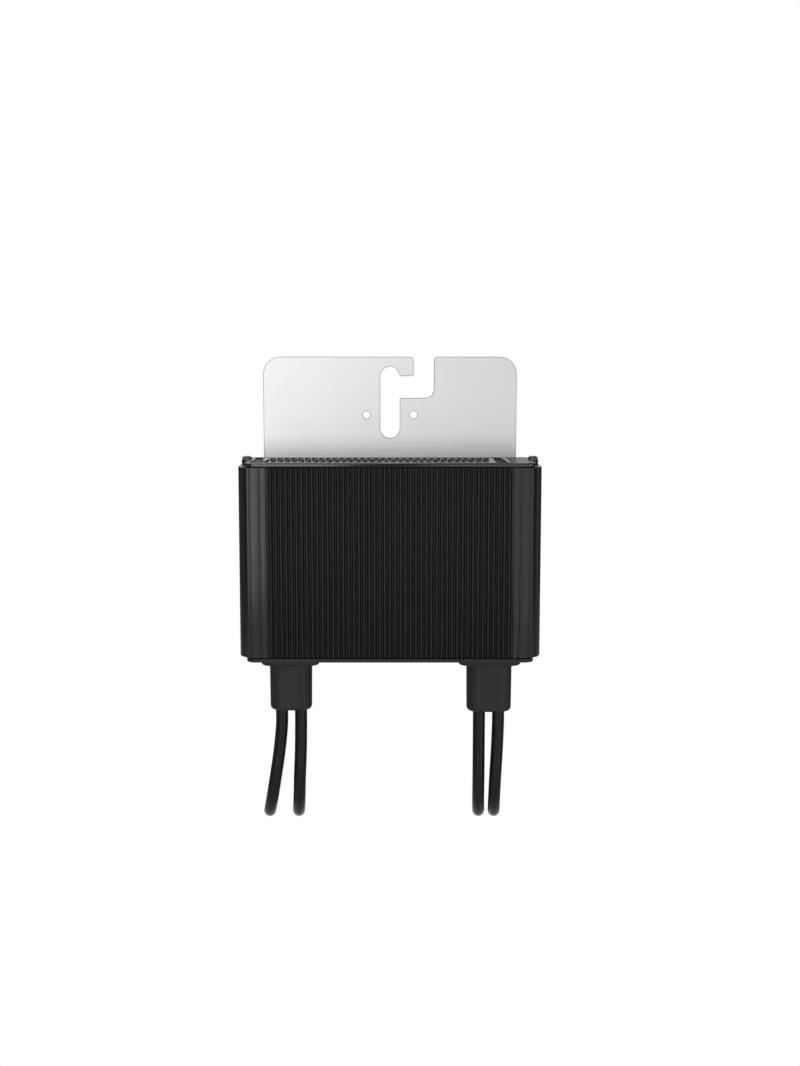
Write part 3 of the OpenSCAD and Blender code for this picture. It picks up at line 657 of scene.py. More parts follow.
@dataclass(frozen=True)
class Bracket:
    """The slotted sheet that the optimizer hangs on, with its four flush screws."""

    corner: float = 7.6
    foot_corner: float = 0.5
    slot: float = 8.6
    slot_travel: float = 22.7
    channel: Pair = (-9.4, 0.2)
    entry: Pair = (10.3, 19.3)
    entry_fillet: float = 4.0
    mouth: float = 1.6
    tip: float = 0.5
    roof_tip: float = 0.125
    seat_step: int = 6
    hole: float = 3.4
    hole_x: float = 10.35
    hole_z: float = -16.8
    edge: float = 0.22
    screw_x: float = 26.5
    screw_z: Pair = (-104.0, -52.3)
    screw_head: float = 5.6
    screw_sink: float = 1.3
    screw_rim: tuple[Pair, ...] = ((-0.1, 0.1), (-0.02, 0.0), (0.0, 0.06))
    drive: float = 2.6
    drive_sides: int = 6
    drive_depth: float = 0.9
    gap: float = 0.06

    def outline(self) -> Loop:
        """Draw the sheet's edge, in and out of the hook slot.

        Returns:
            The outline in X and Z.
        """
        low, high = box_mm("mounting_bracket")
        r = self.slot / 2
        floor, roof = self.channel
        inner, outer = self.entry
        foot = -self.slot_travel - r
        seat = [math.radians(a) for a in range(180, 0, -self.seat_step)]
        return rounded([
            (low.x, low.z, self.foot_corner), (high.x, low.z, self.foot_corner),
            (high.x, high.z, self.corner), (outer, high.z, self.mouth), (outer, floor, self.entry_fillet),
            (r, floor, self.tip), (r, foot, r - ARC_GAP), (-r, foot, r - ARC_GAP),
            *((r * math.cos(a), r * math.sin(a), 0.0) for a in seat),
            (r, roof, self.roof_tip), (inner, roof, self.tip), (inner, high.z, self.mouth),
            (low.x, high.z, self.corner),
        ], FINE_STEP)

    def build(self) -> None:
        """Make the sheet and its screws."""
        low, high = box_mm("mounting_bracket")
        sheet = Shape()
        openings = [circle(side * self.hole_x, self.hole_z, self.hole / 2) for side in (-1, 1)]
        openings += [circle(side * self.screw_x, z, self.screw_head / 2 + self.gap)
                     for side in (-1, 1) for z in self.screw_z]
        edges = rims(low.y, high.y, self.edge, self.edge)
        sheet.block([self.outline(), *openings], edges, Axis.BACK, wall_slot=1)
        # The walls take slot 1, the sheared finish, whose darker colour is painted shade along the cut edges
        place_mesh("bracket_sheet", sheet.mesh(SHEET, SHEARED_PAINTED_SHADE), ["mounting_bracket"])
        rows = [row_of(self.screw(z), PLATED_STEEL, 2, (2 * self.screw_x, 0.0, 0.0)) for z in self.screw_z]
        place_mesh("bracket_fixings", joined(*rows), ["bracket_screws"])

    def screw(self, z: float) -> Shape:
        """Draw the left screw of a pair.

        Args:
            z: The pair's height.

        Returns:
            A countersunk head with a hex socket.
        """
        x, sunk, depth = -self.screw_x, self.screw_sink, self.drive_depth
        head = circle(x, z, self.screw_head / 2)
        socket = circle(x, z, self.drive / 2, self.drive_sides)
        drawn = Shape()
        drawn.block([head], [(-sunk, sunk), (self.gap - depth, depth)], Axis.BACK)
        drawn.block([head, socket], [(-depth, depth), *self.screw_rim], Axis.BACK, opening_share=0.0)
        return drawn


@dataclass(frozen=True)
class Housing:
    """The extruded sleeve: a ribbed front, smooth margins, stepped corners and grooved sides."""

    rib_pitch: float = 2.2
    rib: float = 1.1
    rib_count: int = 47
    groove_depth: float = 1.3
    rib_round: float = 0.54
    rib_step: float = math.radians(10)
    rib_root: float = 0.2
    rib_lap: float = 0.02
    margin: float = 52.25
    margin_rounds: Pair = (0.2, 0.3)
    lines: Pair = (54.8, 59.1)
    line: Pair = (0.7, 0.6)
    line_round: float = 0.14
    corner: tuple[Corner, ...] = (
        (60.4, 0.0, 0.25), (62.2, 2.9, 0.3), (63.1, 3.35, 0.3), (64.5, 7.0, 0.6),
    )
    side_y: float = -14.85
    side_pitch: float = 3.4
    side_count: int = 6
    side_groove: Pair = (1.6, 0.8)
    side_round: float = 0.2
    rear_corner: tuple[Corner, ...] = ((0.0, -3.2, 0.6), (2.0, 0.0, 0.4))
    channel: float = 55.6
    channel_round: float = 0.2
    seat: float = -2.0
    wall: float = 2.4
    side_wall: float = 4.8
    cavity_corner: float = 3.6
    edge: float = 0.2

    def section(self, front: float, side: float) -> list[Corner]:
        """List the right half's corners, from the front's middle round to the back's.

        Args:
            front: Where the rib tips lie in Y.
            side: The housing's half width.

        Returns:
            The corners with their radii.
        """
        floor = front + self.groove_depth
        width, depth = self.line
        lines = [(x + s * width / 2, y, self.line_round) for x in self.lines
                 for s, y in ((-1, front), (-1, front + depth), (1, front + depth), (1, front))]
        groove, sink = self.side_groove
        ends = (self.side_count - 1) / 2
        sides = [(side - x, self.side_y + (i - ends) * self.side_pitch + s * groove / 2, self.side_round)
                 for i in range(self.side_count) for s, x in ((-1, 0), (-1, sink), (1, sink), (1, 0))]
        root, rim = self.margin_rounds
        return [
            (self.margin, floor, root), (self.margin, front, rim), *lines,
            *((x, front + y, r) for x, y, r in self.corner), *sides,
            *((side - x, y, r) for x, y, r in self.rear_corner),
            (self.channel, 0.0, self.channel_round), (self.channel, self.seat, 0.0),
        ]

    def rib_profile(self, front: float) -> Loop:
        """Draw the section of the rib at the left end, with half a groove on both sides.

        Args:
            front: Where the rib tips lie in Y.

        Returns:
            The outline in X and Y.
        """
        floor = front + self.groove_depth
        x = -(self.rib_count - 1) / 2 * self.rib_pitch
        left, right, r = x - self.rib / 2, x + self.rib / 2, self.rib_round
        foot, far = floor + self.rib_root, self.rib_pitch / 2 + self.rib_lap
        return rounded([
            (x - far, foot, 0), (x - far, floor, 0), (left, floor, r), (left, front, r),
            (right, front, r), (right, floor, r), (x + far, floor, 0), (x + far, foot, 0),
        ], self.rib_step)

    def build(self) -> None:
        """Make the sleeve and its ribs as one piece."""
        low, high = box_mm("housing")
        front, side = low.y, high.x
        inner_front, inner_back = front + self.groove_depth + self.wall, self.seat - self.wall
        cavity = oblong(0.0, (inner_front + inner_back) / 2, 2 * (side - self.side_wall),
                        inner_back - inner_front, self.cavity_corner)
        ends = rims(low.z, high.z, self.edge, self.edge)
        sleeve, rib = Shape(), Shape()
        sleeve.block([rounded(mirrored(self.section(front, side))), cavity], ends)
        rib.block([self.rib_profile(front)], ends)
        ribs = row_of(rib, DRAWN, self.rib_count, (self.rib_pitch, 0.0, 0.0))
        place_mesh("ribbed_sleeve", joined(sleeve.mesh(ANODISED), ribs), ["housing"])


@dataclass(frozen=True)
class Caps:
    """The two end caps with an ear around each screw, and the domed screws."""

    side: float = 61.4
    corner: float = 4.0
    plate: float = 1.5
    edge: float = 0.4
    inner_edge: float = 0.1
    notch: Pair = (55.6, -2.0)
    notch_round: float = 0.2
    rear: float = -0.2
    rear_corner: Pair = (2.0, 3.2)
    rear_round: float = 0.6
    ear: float = 2.4
    ear_edge: float = 0.3
    screw_x: float = 61.7
    screw_y: float = -14.85
    pocket_x: Pair = (-54.0, 42.5)
    # Left end, then the right end at the rear and at the front
    end_pockets: tuple[tuple[float, float, float], ...] = ((-58.8, -55.6, -53.2), (45.0, 48.6, 50.2))
    pocket_y: Pair = (-30.5, -5.0)
    pocket_pitch: float = 3.0
    pocket_share: float = 0.84
    pocket_depth: float = 0.6
    pocket_round: float = 0.15
    pocket_rim: float = 0.2
    pocket_frame: float = 0.6
    frame_corner: float = 0.5
    lap: float = 0.05
    neck: Pair = (16.2, 8.4)
    head: float = 4.4
    head_height: float = 1.6
    head_wall: float = 0.3
    head_taper: float = 0.02
    head_rim: float = 0.15
    dome_steps: int = 9
    drive: Pair = (1.8, 0.6)
    drive_floor: float = 0.7

    def outline(self, front: float) -> Loop:
        """Draw a cap's edge, with the notch that the bracket stands in.

        Args:
            front: Where the lip lies in Y.

        Returns:
            The outline in X and Y.
        """
        x, seat = self.notch
        inward, forward = self.rear_corner
        return rounded(mirrored([
            (self.side, front, self.corner), (self.side, self.rear - forward, self.rear_round),
            (self.side - inward, self.rear, self.rear_round), (x, self.rear, self.notch_round),
            (x, seat, self.notch_round),
        ]), FINE_STEP)

    def fields(self) -> list[Loop]:
        """Draw the opening around the pockets and the truss that fills it.

        Returns:
            The outlines of both.
        """
        front, rear = self.pocket_y
        left = self.end_pockets[0][0] - self.pocket_frame
        right = self.end_pockets[-1][-1] + self.pocket_frame
        x, y = (left + right) / 2, (front + rear) / 2
        width, depth = right - left, rear - front + 2 * self.pocket_frame
        return [oblong(x, y, width + grown, depth + grown, self.frame_corner) for grown in (0.0, self.lap)]

    def pockets(self) -> list[Loop]:
        """Draw the triangular pockets, point up and point down by turns, and the plain one at both ends.

        Returns:
            An outline for each.
        """
        start, end = self.pocket_x
        front, rear = self.pocket_y
        p = self.pocket_pitch
        found = []
        for i in range(int((end - start) / p)):
            x = start + i * p
            for corners in (((x, front), (x + p, front), (x + p / 2, rear)),
                            ((x + p / 2, rear), (x + p, front), (x + 1.5 * p, rear))):
                middle = sum((Vector(c) for c in corners), Vector((0.0, 0.0))) / 3
                found.append([middle + self.pocket_share * (Vector(c) - middle) for c in corners])
        for left, rear_right, front_right in self.end_pockets:
            ends = ((left, front), (front_right, front), (rear_right, rear), (left, rear))
            found.append([Vector(c) for c in ends])
        return [rounded([(c.x, c.y, self.pocket_round) for c in corners], COARSE_STEP) for corners in found]

    def screw(self, z: float, up: int) -> Shape:
        """Draw the left screw of a cap.

        Args:
            z: The cap's outer face.
            up: 1 for the top cap and -1 for the bottom one.

        Returns:
            A domed head with a cross recess.
        """
        x, y = -self.screw_x, self.screw_y
        long, wide = self.drive[0] / 2, self.drive[1] / 2
        cross, arm = [], [(long, wide), (wide, wide), (wide, long)]
        for _ in range(4):
            cross += [Vector((x + a, y + b)) for a, b in arm]
            arm = [(-b, a) for a, b in arm]
        radius, rise = self.head / 2, self.head_height - self.head_wall
        flat = radius - long - self.head_rim
        foot = [(0.0, 0.0), (self.head_wall, self.head_taper), (self.drive_floor, flat)]
        dome = [(self.head_wall + rise * math.sin(a), flat * (1 - math.cos(a)))
                for a in quarter_turn(self.dome_steps)]
        head = circle(x, y, radius)
        drawn = Shape()
        drawn.block([head], [(z + up * h, d) for h, d in foot])
        drawn.block([head, cross], [(z + up * h, d) for h, d in dome], opening_share=0.0)
        return drawn

    def build(self) -> None:
        """Make both caps and their screws."""
        for name, up in (("top", 1), ("bottom", -1)):
            low, high = box_mm(name + "_cap")
            face = high.z if up > 0 else low.z
            outline = self.outline(low.y)
            cap = Shape()
            if up > 0:
                floor = face - self.pocket_depth
                opening, truss = self.fields()
                # The pockets' floors and walls take slot 1, whose darker colour is painted shade in the
                # pockets
                cap.block([outline], rims(face - self.plate, floor, self.inner_edge, 0.0),
                          end_slot=1, wall_slot=2)
                cap.block([outline, opening], rims(floor - self.lap, face, 0.0, self.edge),
                          wall_slot=2, opening_share=self.pocket_rim)
                cap.block([truss, *self.pockets()],
                          rims(floor - 2 * self.lap, face - self.lap, 0.0, self.lap), end_slot=2, wall_slot=1)
            else:
                openings = [self.neck_opening(node) for node in GLANDS]
                cap.block([outline, *openings], rims(face, face + self.plate, self.edge, self.inner_edge))
            for side in (-1, 1):
                ear = circle(side * self.screw_x, self.screw_y, self.ear)
                heights = sorted((face, face - up * self.plate))
                cap.block([ear], rims(*heights, self.ear_edge, self.ear_edge))
            place_mesh(name + "_end_cap", cap.mesh(MOULDED, ERODED_PAINTED_SHADE, POLISHED), [name + "_cap"])
            screws = row_of(self.screw(face, up), BLACK_STEEL, 2, (2 * self.screw_x, 0.0, 0.0))
            place_mesh(name + "_cap_screws", screws, [name + "_screws"])

    def neck_opening(self, gland: str) -> Loop:
        """Draw the opening that a gland's neck goes through."""
        low, high = box_mm(gland)
        return oblong((low.x + high.x) / 2, (low.y + high.y) / 2, *self.neck, self.neck[1] / 2 - ARC_GAP)


@dataclass(frozen=True)
class Glands:
    """The two soft glands: a flange under the cap and an oval body around two leads."""

    flange_corner: float = 5.0
    flange: float = 3.0
    flange_edge: float = 0.8
    flange_rim: float = 0.2
    body: Pair = (18.6, 12.0)
    tip: Pair = (1.4, 1.9)
    taper: float = 0.15
    flare: float = 0.7
    turn_steps: int = 6
    lap: float = 0.05
    shares: Pair = (1.0, 1.07)
    drops: Pair = (0.5, 1.2)

    def levels(self, base: float, top: float) -> Levels:
        """List the body's levels: a rounded tip, a slight taper and a flare into the flange.

        Args:
            base: Height of the body's lower end.
            top: Height where it meets the flange.

        Returns:
            Height and inset of each level.
        """
        inward, rise = self.tip
        turns = quarter_turn(self.turn_steps)
        foot = [(base + rise * (1 - math.cos(a)), self.taper + inward * (1 - math.sin(a))) for a in turns]
        flare = [(top - self.flare * (1 - math.sin(a)), -self.flare * (1 - math.cos(a))) for a in turns]
        return [*foot, *flare]

    def build(self) -> None:
        """Make both glands: the photograph shows the input's a little wider and longer."""
        for node, share, drop in zip(GLANDS, self.shares, self.drops):
            low, high = box_mm(node)
            x, y = (low.x + high.x) / 2, (low.y + high.y) / 2
            cap_face = box_mm("gland_seals")[0].z
            foot = cap_face - self.flange
            width, depth = self.body
            gland = Shape()
            gland.block([oblong(x, y, share * (high.x - low.x), high.y - low.y, self.flange_corner)],
                        rims(foot, cap_face, self.flange_edge, self.flange_rim))
            gland.block([oblong(x, y, share * width, depth, depth / 2 - ARC_GAP)],
                        self.levels(low.z - drop, foot + self.lap))
            place_mesh(node + "_moulding", gland.mesh(SOFT_MOULDED), [node])


class Lay(Enum):
    """How a lead lies outside the housing."""

    HANGING = "hanging"
    COILED = "coiled"


def metres(points: Sequence[Point]) -> list[Vector]:
    """Turn points in millimetres into vectors in metres."""
    return [Vector(p) * MM for p in points]


def smooth_line(points: Sequence[Vector], steps: int = 6) -> list[Vector]:
    """Draw one smooth curve through every point.

    Args:
        points: Points along the way.
        steps: Pieces between two points.

    Returns:
        Points on the curve, ends included.
    """
    ends = [2 * points[0] - points[1], *points, 2 * points[-1] - points[-2]]
    line = []
    for a, b, c, d in zip(ends, ends[1:], ends[2:], ends[3:]):
        for step in range(steps):
            t = step / steps
            rest = (2 * a - 5 * b + 4 * c - d) * t ** 2 + (3 * b - a - 3 * c + d) * t ** 3
            line.append(0.5 * (2 * b + (c - a) * t + rest))
    return line + [points[-1]]


@dataclass(frozen=True)
class Hank:
    """The put-away length of the output leads: long turns wound behind the housing, in metres."""

    x: float = -0.040
    top_z: float = -0.064
    base_z: float = -0.100
    start_z: float = -0.090
    rear_y: float = 0.0288
    front_y: float = 0.0062
    points_a_turn: int = 20

    def turns(self, radius: float, count: int) -> list[Vector]:
        """Wind whole turns from the left side upwards, and leave over the top.

        Args:
            radius: Bend of the turns' ends.
            count: Whole turns before the last rise to the top.

        Returns:
            Points from the start on the left side to the top's middle.
        """
        straight = self.top_z - self.base_z
        around = 2 * straight + 2 * math.pi * radius
        total = count * around + self.top_z - self.start_z + math.pi * radius / 2
        steps = round(self.points_a_turn * total / around)
        points = []
        for step in range(1, steps + 1):
            along = total * step / steps
            x, z = self.on_turn((along + self.start_z - self.base_z) % around, radius)
            points.append(Vector((x, self.rear_y + (self.front_y - self.rear_y) * step / steps, z)))
        return points

    def on_turn(self, along: float, radius: float) -> Pair:
        """Find a place on one turn.

        Args:
            along: Way from the foot of the left side, up, over the top, down and back under.
            radius: Bend of the turn's ends.

        Returns:
            The place's X and Z.
        """
        straight = self.top_z - self.base_z
        falling, along = divmod(along, straight + math.pi * radius)
        bend = max(0.0, along - straight) / radius
        x = -radius * math.cos(bend)
        z = self.base_z + min(along, straight) + radius * math.sin(bend)
        return (self.x - x, self.top_z + self.base_z - z) if falling else (self.x + x, z)


@dataclass(frozen=True)
class Lead:
    """One lead outside its gland, into its connector: its points in millimetres, its sizes in metres."""

    name: str
    way_out: tuple[Point, ...]
    length: float
    lay: Lay
    stands_for: tuple[str, ...]
    connector: tuple[str, ...]
    turn_radius: float = 0.0
    turn_count: int = 0
    way_in: tuple[Point, ...] = ()
    carries_band: bool = False
    diameter: float = 0.0054
    sides: int = 20

    def line(self, hank: Hank) -> list[Vector]:
        """Join the lead's stretches into one smooth centreline.

        Args:
            hank: Where its spare length is wound.

        Returns:
            Points along the centreline.
        """
        points = metres(self.way_out)
        if self.turn_count:
            points = [*points, *hank.turns(self.turn_radius, self.turn_count), *metres(self.way_in)]
        return smooth_line(points)

    def build(self, tree: NodeTree, hank: Hank, band: Sequence[Object]) -> None:
        """Args:
            tree: The tree that sweeps a jacket.
            hank: Where its spare length is wound.
            band: The strap's pieces. Not used.
        """
        line = self.line(hank)
        path = bpy.data.meshes.new(self.name + "_path")
        path.from_pydata(line, [(i, i + 1) for i in range(len(line) - 1)], [])
        jacket = {"Radius": self.diameter / 2, "Sides": self.sides, "Material": JACKET.material()}
        piece = place_mesh(self.name, grow(tree, path, jacket), self.stands_for)


@dataclass(frozen=True)
class Strap:
    """The webbing around the put-away leads, with its end lapped over and sewn."""

    thickness: float = 1.2
    slope: float = 8.0
    slope_corner: float = 5.0
    lead: float = 5.2
    edge: float = 0.3
    tab: Pair = (-60.0, -44.0)
    tab_thickness: float = 0.9
    tab_corner: float = 1.0
    tab_lap: float = 0.1
    seam: float = 2.0
    stitch: tuple[float, float, float] = (0.5, 1.5, 0.3)
    stitch_root: float = 0.2
    stitch_round: float = 0.2
    stitch_steps: int = 2
    stitch_count: int = 5
    stitch_pitch: float = 2.2

    def build(self) -> list[Object]:
        """Make the band, its lapped end and the stitches.

        Returns:
            The band and the stitches.
        """
        low, high = box_mm("hank_strap")
        t, corner = self.thickness, self.slope_corner
        bend = self.lead / 2 + t
        outline = rounded([
            (low.x, low.y, bend), (high.x, low.y, bend), (high.x, high.y - self.lead - t, corner),
            (high.x - self.slope, high.y, corner), (low.x, high.y, bend),
        ])
        band = Shape()
        band.block([outline, inset(wound(outline, True), t)], rims(low.z, high.z, self.edge, self.edge))
        left, right = self.tab
        middle, back = (low.z + high.z) / 2, high.y + self.tab_thickness
        band.block([oblong((left + right) / 2, middle, right - left, high.z - low.z, self.tab_corner)],
                   rims(high.y - self.tab_lap, back, 0.0, self.edge), Axis.BACK)
        pieces = [place_mesh("hank_band", band.mesh(WEBBING), ["hank_strap"])]
        wide, tall, proud = self.stitch
        first = middle - (self.stitch_count - 1) / 2 * self.stitch_pitch
        depths = rims(back - self.stitch_root, back + proud, 0.0, self.stitch_round, self.stitch_steps)
        rows = []
        for x in (left + self.seam, right - self.seam):
            stitch = Shape()
            stitch.block([oblong(x, first, wide, tall, wide / 2 - ARC_GAP)], depths, Axis.BACK)
            rows.append(row_of(stitch, THREAD, self.stitch_count, (0.0, 0.0, self.stitch_pitch)))
        return [*pieces, place_mesh("band_stitches", joined(*rows), [])]


@dataclass(frozen=True)
class Leads:
    """The four leads, which follow the routes of the solids, and the strap around the put-away length."""

    hank: Hank = field(default_factory=Hank)
    strap: Strap = field(default_factory=Strap)

    def sweep_tree(self) -> NodeTree:
        """Build the tree that sweeps a round jacket along a line.

        Returns:
            The tree.
        """
        tree, given = geometry_tree(
            "sweep_jacket",
            {"Radius": "NodeSocketFloat", "Sides": "NodeSocketInt", "Material": "NodeSocketMaterial"},
        )
        curve = add_node(tree, "GeometryNodeMeshToCurve", {}, {0: given["Geometry"]})
        ring = add_node(
            tree, "GeometryNodeCurvePrimitiveCircle", {},
            {"Resolution": given["Sides"], "Radius": given["Radius"]},
        )
        ends = {"Curve": curve[0], "Profile Curve": ring[0]}
        swept = add_node(tree, "GeometryNodeCurveToMesh", {"Fill Caps": True}, ends)
        smooth = add_node(tree, "GeometryNodeSetShadeSmooth", {"Shade Smooth": True}, {"Geometry": swept[0]})
        end_tree(tree, smooth[0], given["Material"])
        return tree

    def leads(self) -> list[Lead]:
        """List the four leads with their routes in millimetres."""
        return [
            Lead(
                "input_inner", (
                    (39.2, -16.5, -144.4), (39.2, -16.5, -154), (39.2, -16.5, -165), (39.2, -16.5, -176),
                    (39.3, -13.7, -186.5), (39.8, -6, -194.2), (40.5, 4.5, -197), (41.1, 15, -194.2),
                    (41.6, 22.7, -186.5), (41.7, 25.5, -176), (41.7, 24.6, -162), (41, 21.6, -149),
                    (39.4, 17.8, -138), (37.8, 15.4, -129), (36.4, 14.2, -121), (36, 14, -114),
                    (36, 14, -110),
                ), length=0.16, lay=Lay.HANGING, stands_for=("input_lead_inner",),
                connector=("input_socket_nut", "input_socket_body"),
            ),
            Lead(
                "input_outer", (
                    (47.6, -16.5, -144.4), (47.6, -16.5, -152), (47.2, -16.5, -164), (46.6, -16.5, -176),
                    (46.4, -13.7, -186.5), (46.8, -6, -194.2), (47.5, 4.5, -197), (48.5, 15, -194.2),
                    (49.4, 22.7, -186.5), (50.2, 25.5, -176), (50.6, 24.6, -162), (51.1, 21.6, -149),
                    (52, 17.8, -138), (53.1, 15.4, -129), (54.4, 14.2, -121), (54.8, 14, -114),
                    (54.8, 14, -110),
                ), length=0.16, lay=Lay.HANGING, stands_for=("input_lead_outer",),
                connector=("input_pin_nut", "input_pin_body"),
            ),
            Lead(
                "output_inner", (
                    (-39.2, -16.5, -144.4), (-39.2, -16.5, -152), (-39.4, -16.5, -164), (-39.9, -16.5, -176),
                    (-40.3, -13.7, -186.5), (-41, -6, -194.2), (-41.8, 4.5, -197), (-42.2, 15, -194.2),
                    (-42.3, 22.7, -186.5), (-42, 25.8, -176), (-41.8, 27, -162), (-42.4, 28, -147),
                    (-45.4, 28.7, -131), (-51.2, 28.8, -116), (-55.1, 28.8, -102), (-56, 28.8, -90),
                ), length=0.95, lay=Lay.COILED,
                stands_for=("output_lead_inner", "output_end_inner", "output_hank"),
                connector=("output_socket_nut", "output_socket_body", "socket_contacts", "socket_seals"),
                turn_radius=0.0159, turn_count=4, way_in=(
                    (-29.8, 6.2, -48.1), (-19.6, 6.2, -48.2), (-12.5, 6.8, -50.9), (-6.6, 8.8, -55.4),
                    (-2.8, 12, -61.6), (-1.6, 14, -69), (-1.6, 14, -73),
                ), carries_band=True,
            ),
            Lead(
                "output_outer", (
                    (-47.6, -16.5, -144.4), (-47.6, -16.5, -152), (-48.8, -16.5, -164), (-50.6, -16.5, -176),
                    (-52.4, -13.7, -186.5), (-54, -6, -194.2), (-54.8, 4.5, -197), (-54.6, 15, -194.2),
                    (-53.5, 22.7, -186.5), (-52, 25.8, -176), (-50.9, 27, -162), (-51.2, 28, -147),
                    (-53, 28.7, -131), (-57.4, 28.8, -116), (-60.7, 28.8, -102), (-61.2, 28.8, -90),
                ), length=0.95, lay=Lay.COILED, stands_for=("output_lead_outer", "output_end_outer"),
                connector=("output_pin_nut", "output_pin_body", "pin_contacts"),
                turn_radius=0.0212, turn_count=3, way_in=(
                    (-24.6, 6.2, -42.8), (-12, 6.2, -42.8), (-1, 6.6, -43.2), (8, 8.4, -46.8),
                    (14.8, 12, -54.6), (17.2, 14, -64), (17.2, 14, -68),
                ),
            ),
        ]

    def build(self) -> None:
        """Make the strap and the four leads."""
        tree = self.sweep_tree()
        band = self.strap.build()
        for lead in self.leads():
            lead.build(tree, self.hank, band)


@dataclass(frozen=True)
class Lamp:
    """One soft panel of the studio, in metres and watts."""

    name: str
    at: Point
    width: float
    height: float
    power: float
    aim: Point = (0.0, -0.02, -0.07)

    def build(self) -> None:
        """Hang the panel, turned to its aim."""
        data = bpy.data.lights.new(self.name, "AREA")
        data.shape = "RECTANGLE"
        data.size = self.width
        data.size_y = self.height
        data.energy = self.power
        lamp = add_object(self.name, data)
        lamp.location = self.at
        lamp.rotation_euler = (Vector(self.aim) - Vector(self.at)).to_track_quat("-Z", "Y").to_euler()


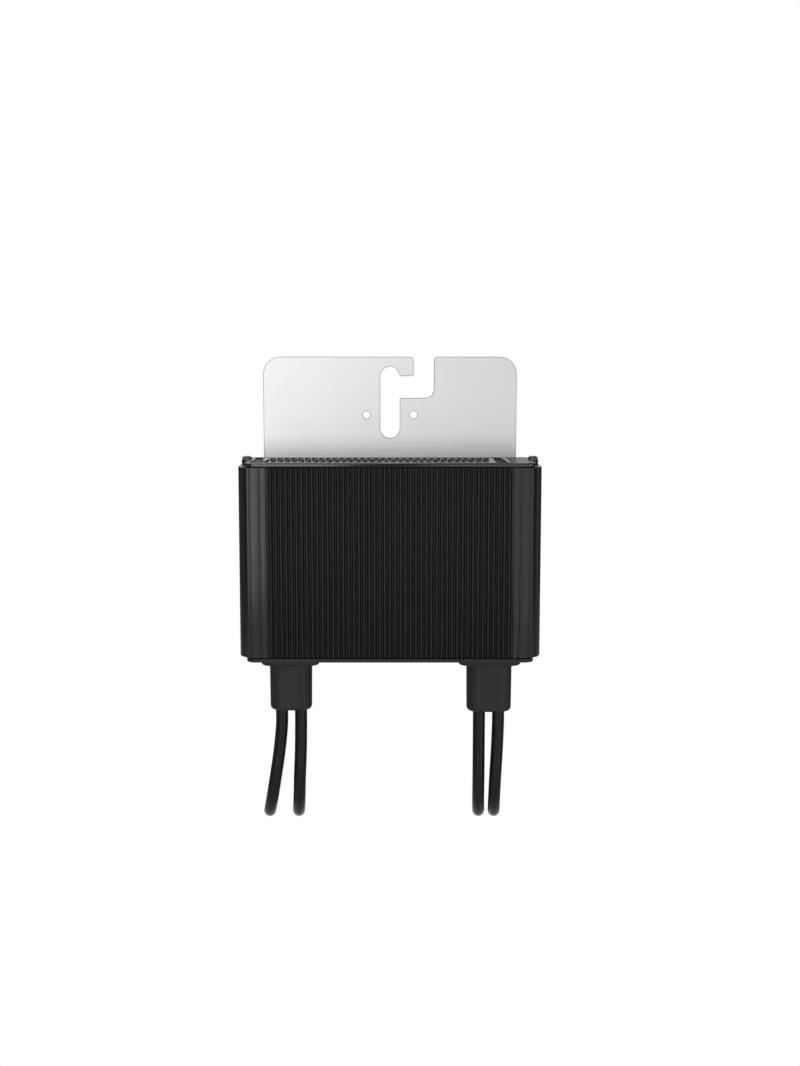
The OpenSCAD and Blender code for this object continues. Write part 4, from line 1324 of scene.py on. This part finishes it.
@dataclass(frozen=True)
class Studio:
    """A pale paper floor, a white backdrop behind the part, soft panels and a dim, even room, in metres."""

    floor_z: float = -0.60
    floor_half: float = 4.0
    foot_y: float = 0.2
    wall_y: float = 2.2
    top_z: float = 1.2
    half_width: float = 0.93
    lift: float = 0.0002
    bend: float = 0.5
    bend_steps: int = 16
    # The backdrop turns white between these places in Y
    white_from: Pair = (0.25, 0.55)
    # To both sides it ends between these shares of the way from the camera
    white_to: Pair = (0.295, 0.32)
    camera_y: float = -0.668
    room: str = "#505050"
    paper: str = "#f2f2f2"
    lamps: tuple[Lamp, ...] = (
        Lamp("key_panel", (-0.42, -1.2, 0.17), 0.75, 1.25, 7.1),
        Lamp("front_panel", (0.31, -1.3, -0.10), 0.5, 0.9, 1.5),
        Lamp("side_panel", (0.95, -0.9, -0.15), 0.4, 0.8, 3.0),
        Lamp("ceiling_panel", (0.0, -0.2, 1.3), 1.6, 1.4, 6.3, (0.0, -0.19, 0.0)),
        Lamp("rear_panel", (-0.35, 0.95, 0.85), 1.2, 0.6, 7.0),
        Lamp("right_panel", (1.2, -0.20, 0.1), 0.6, 0.9, 1.4),
        Lamp("left_panel", (-1.2, -0.20, 0.1), 0.6, 0.9, 1.2),
    )

    def floor_material(self) -> Material:
        """Make the floor's plain paper.

        Returns:
            The material.
        """
        made = blank_material("floor_paper")
        paper = add_node(made.node_tree, "ShaderNodeBsdfDiffuse", {"Color": linear(self.paper)})
        add_node(made.node_tree, "ShaderNodeOutputMaterial", {}, {"Surface": paper[0]})
        return made

    def backdrop_material(self) -> Material:
        """Make the backdrop's paper: seen white where the camera looks, and plain at its front and sides.

        Returns:
            The material.
        """
        made = blank_material("backdrop_paper")
        tree = made.node_tree
        rays = add_node(tree, "ShaderNodeLightPath")
        through = calculate(tree, "MAXIMUM", rays["Is Glossy Ray"], rays["Is Transmission Ray"])
        share = calculate(tree, "MAXIMUM", rays["Is Camera Ray"], through)
        here = add_node(tree, "ShaderNodeTexCoord")["Object"]
        place = add_node(tree, "ShaderNodeSeparateXYZ", {}, {0: here})
        depth = calculate(tree, "SUBTRACT", place["Y"], self.camera_y)
        aside = calculate(tree, "DIVIDE", calculate(tree, "ABSOLUTE", place["X"]), depth)
        for (low, high), value in ((self.white_from, place["Y"]), (self.white_to[::-1], aside)):
            fade = add_node(tree, "ShaderNodeMapRange", {"From Min": low, "From Max": high}, {"Value": value})
            share = calculate(tree, "MULTIPLY", share, fade[0])
        paper = add_node(tree, "ShaderNodeBsdfDiffuse", {"Color": linear(self.paper)})
        white = add_node(tree, "ShaderNodeEmission", {"Strength": 1.0})
        mixed = add_node(tree, "ShaderNodeMixShader", {}, {0: share, 1: paper[0], 2: white[0]})
        add_node(tree, "ShaderNodeOutputMaterial", {}, {"Surface": mixed[0]})
        return made

    def sheet(self, name: str, half: float, profile: Sequence[Pair], paper: Material) -> None:
        """Lay a sheet of paper along a line of Y and Z.

        Args:
            name: The sheet's name.
            half: Its half width.
            profile: The line, from the front.
            paper: Its material.
        """
        points = [(side * half, y, z) for y, z in profile for side in (-1, 1)]
        faces = [(2 * i, 2 * i + 1, 2 * i + 3, 2 * i + 2) for i in range(len(profile) - 1)]
        mesh = bpy.data.meshes.new(name)
        mesh.from_pydata(points, [], faces)
        mesh.materials.append(paper)
        mesh.shade_smooth()
        add_object(name, mesh)

    def build(self) -> None:
        """Set up the floor, the backdrop, the panels and the room."""
        far, low = self.floor_half, self.floor_z + self.lift
        self.sheet("floor", far, [(-far, self.floor_z), (far, self.floor_z)], self.floor_material())
        bend = [(self.wall_y - self.bend * (1 - math.sin(a)), low + self.bend * (1 - math.cos(a)))
                for a in quarter_turn(self.bend_steps)]
        profile = [(self.foot_y, low), *bend, (self.wall_y, self.top_z)]
        self.sheet("backdrop", self.half_width, profile, self.backdrop_material())
        for lamp in self.lamps:
            lamp.build()
        world = bpy.data.worlds.new("room")
        world.use_nodes = True
        world.node_tree.nodes["Background"].inputs["Color"].default_value = linear(self.room)
        bpy.context.scene.world = world
        bpy.context.scene.view_settings.view_transform = "Standard"
        log.info("studio with %d panels", len(self.lamps))


SOLID_FINISHES: dict[Finish, tuple[str, ...]] = {
    RUBBER: ("top_gasket", "bottom_gasket", "gland_seals", "socket_seals"),
    SOFT_MOULDED: ("gland_locks",),
    LAMINATE: ("circuit_board",),
    RESIN: ("power_transistors", "controller_chip"),
    SILICONE: ("thermal_pad",),
    FERRITE: ("inductor_core", "signal_choke"),
    COPPER: ("inductor_winding", "lead_conductors"),
    FILM_BOX: ("film_capacitors",),
    TINNED: ("lead_terminals", "socket_contacts", "pin_contacts"),
    JACKET: ("lead_tails",),
    CONNECTOR: tuple(f"{side}_{kind}_{piece}" for side in ("input", "output")
                     for kind in ("socket", "pin") for piece in ("body", "nut")),
}


def main() -> None:
    """Build the view, every piece and the studio, in that order."""
    logging.basicConfig(level=logging.INFO, format="%(message)s")
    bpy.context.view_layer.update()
    PhotoCamera().build()
    Leads().build()
    Bracket().build()
    Housing().build()
    Caps().build()
    Glands().build()
    for finish, nodes in SOLID_FINISHES.items():
        dress(finish, nodes)
    Studio().build()


if __name__ == "__main__":
    main()
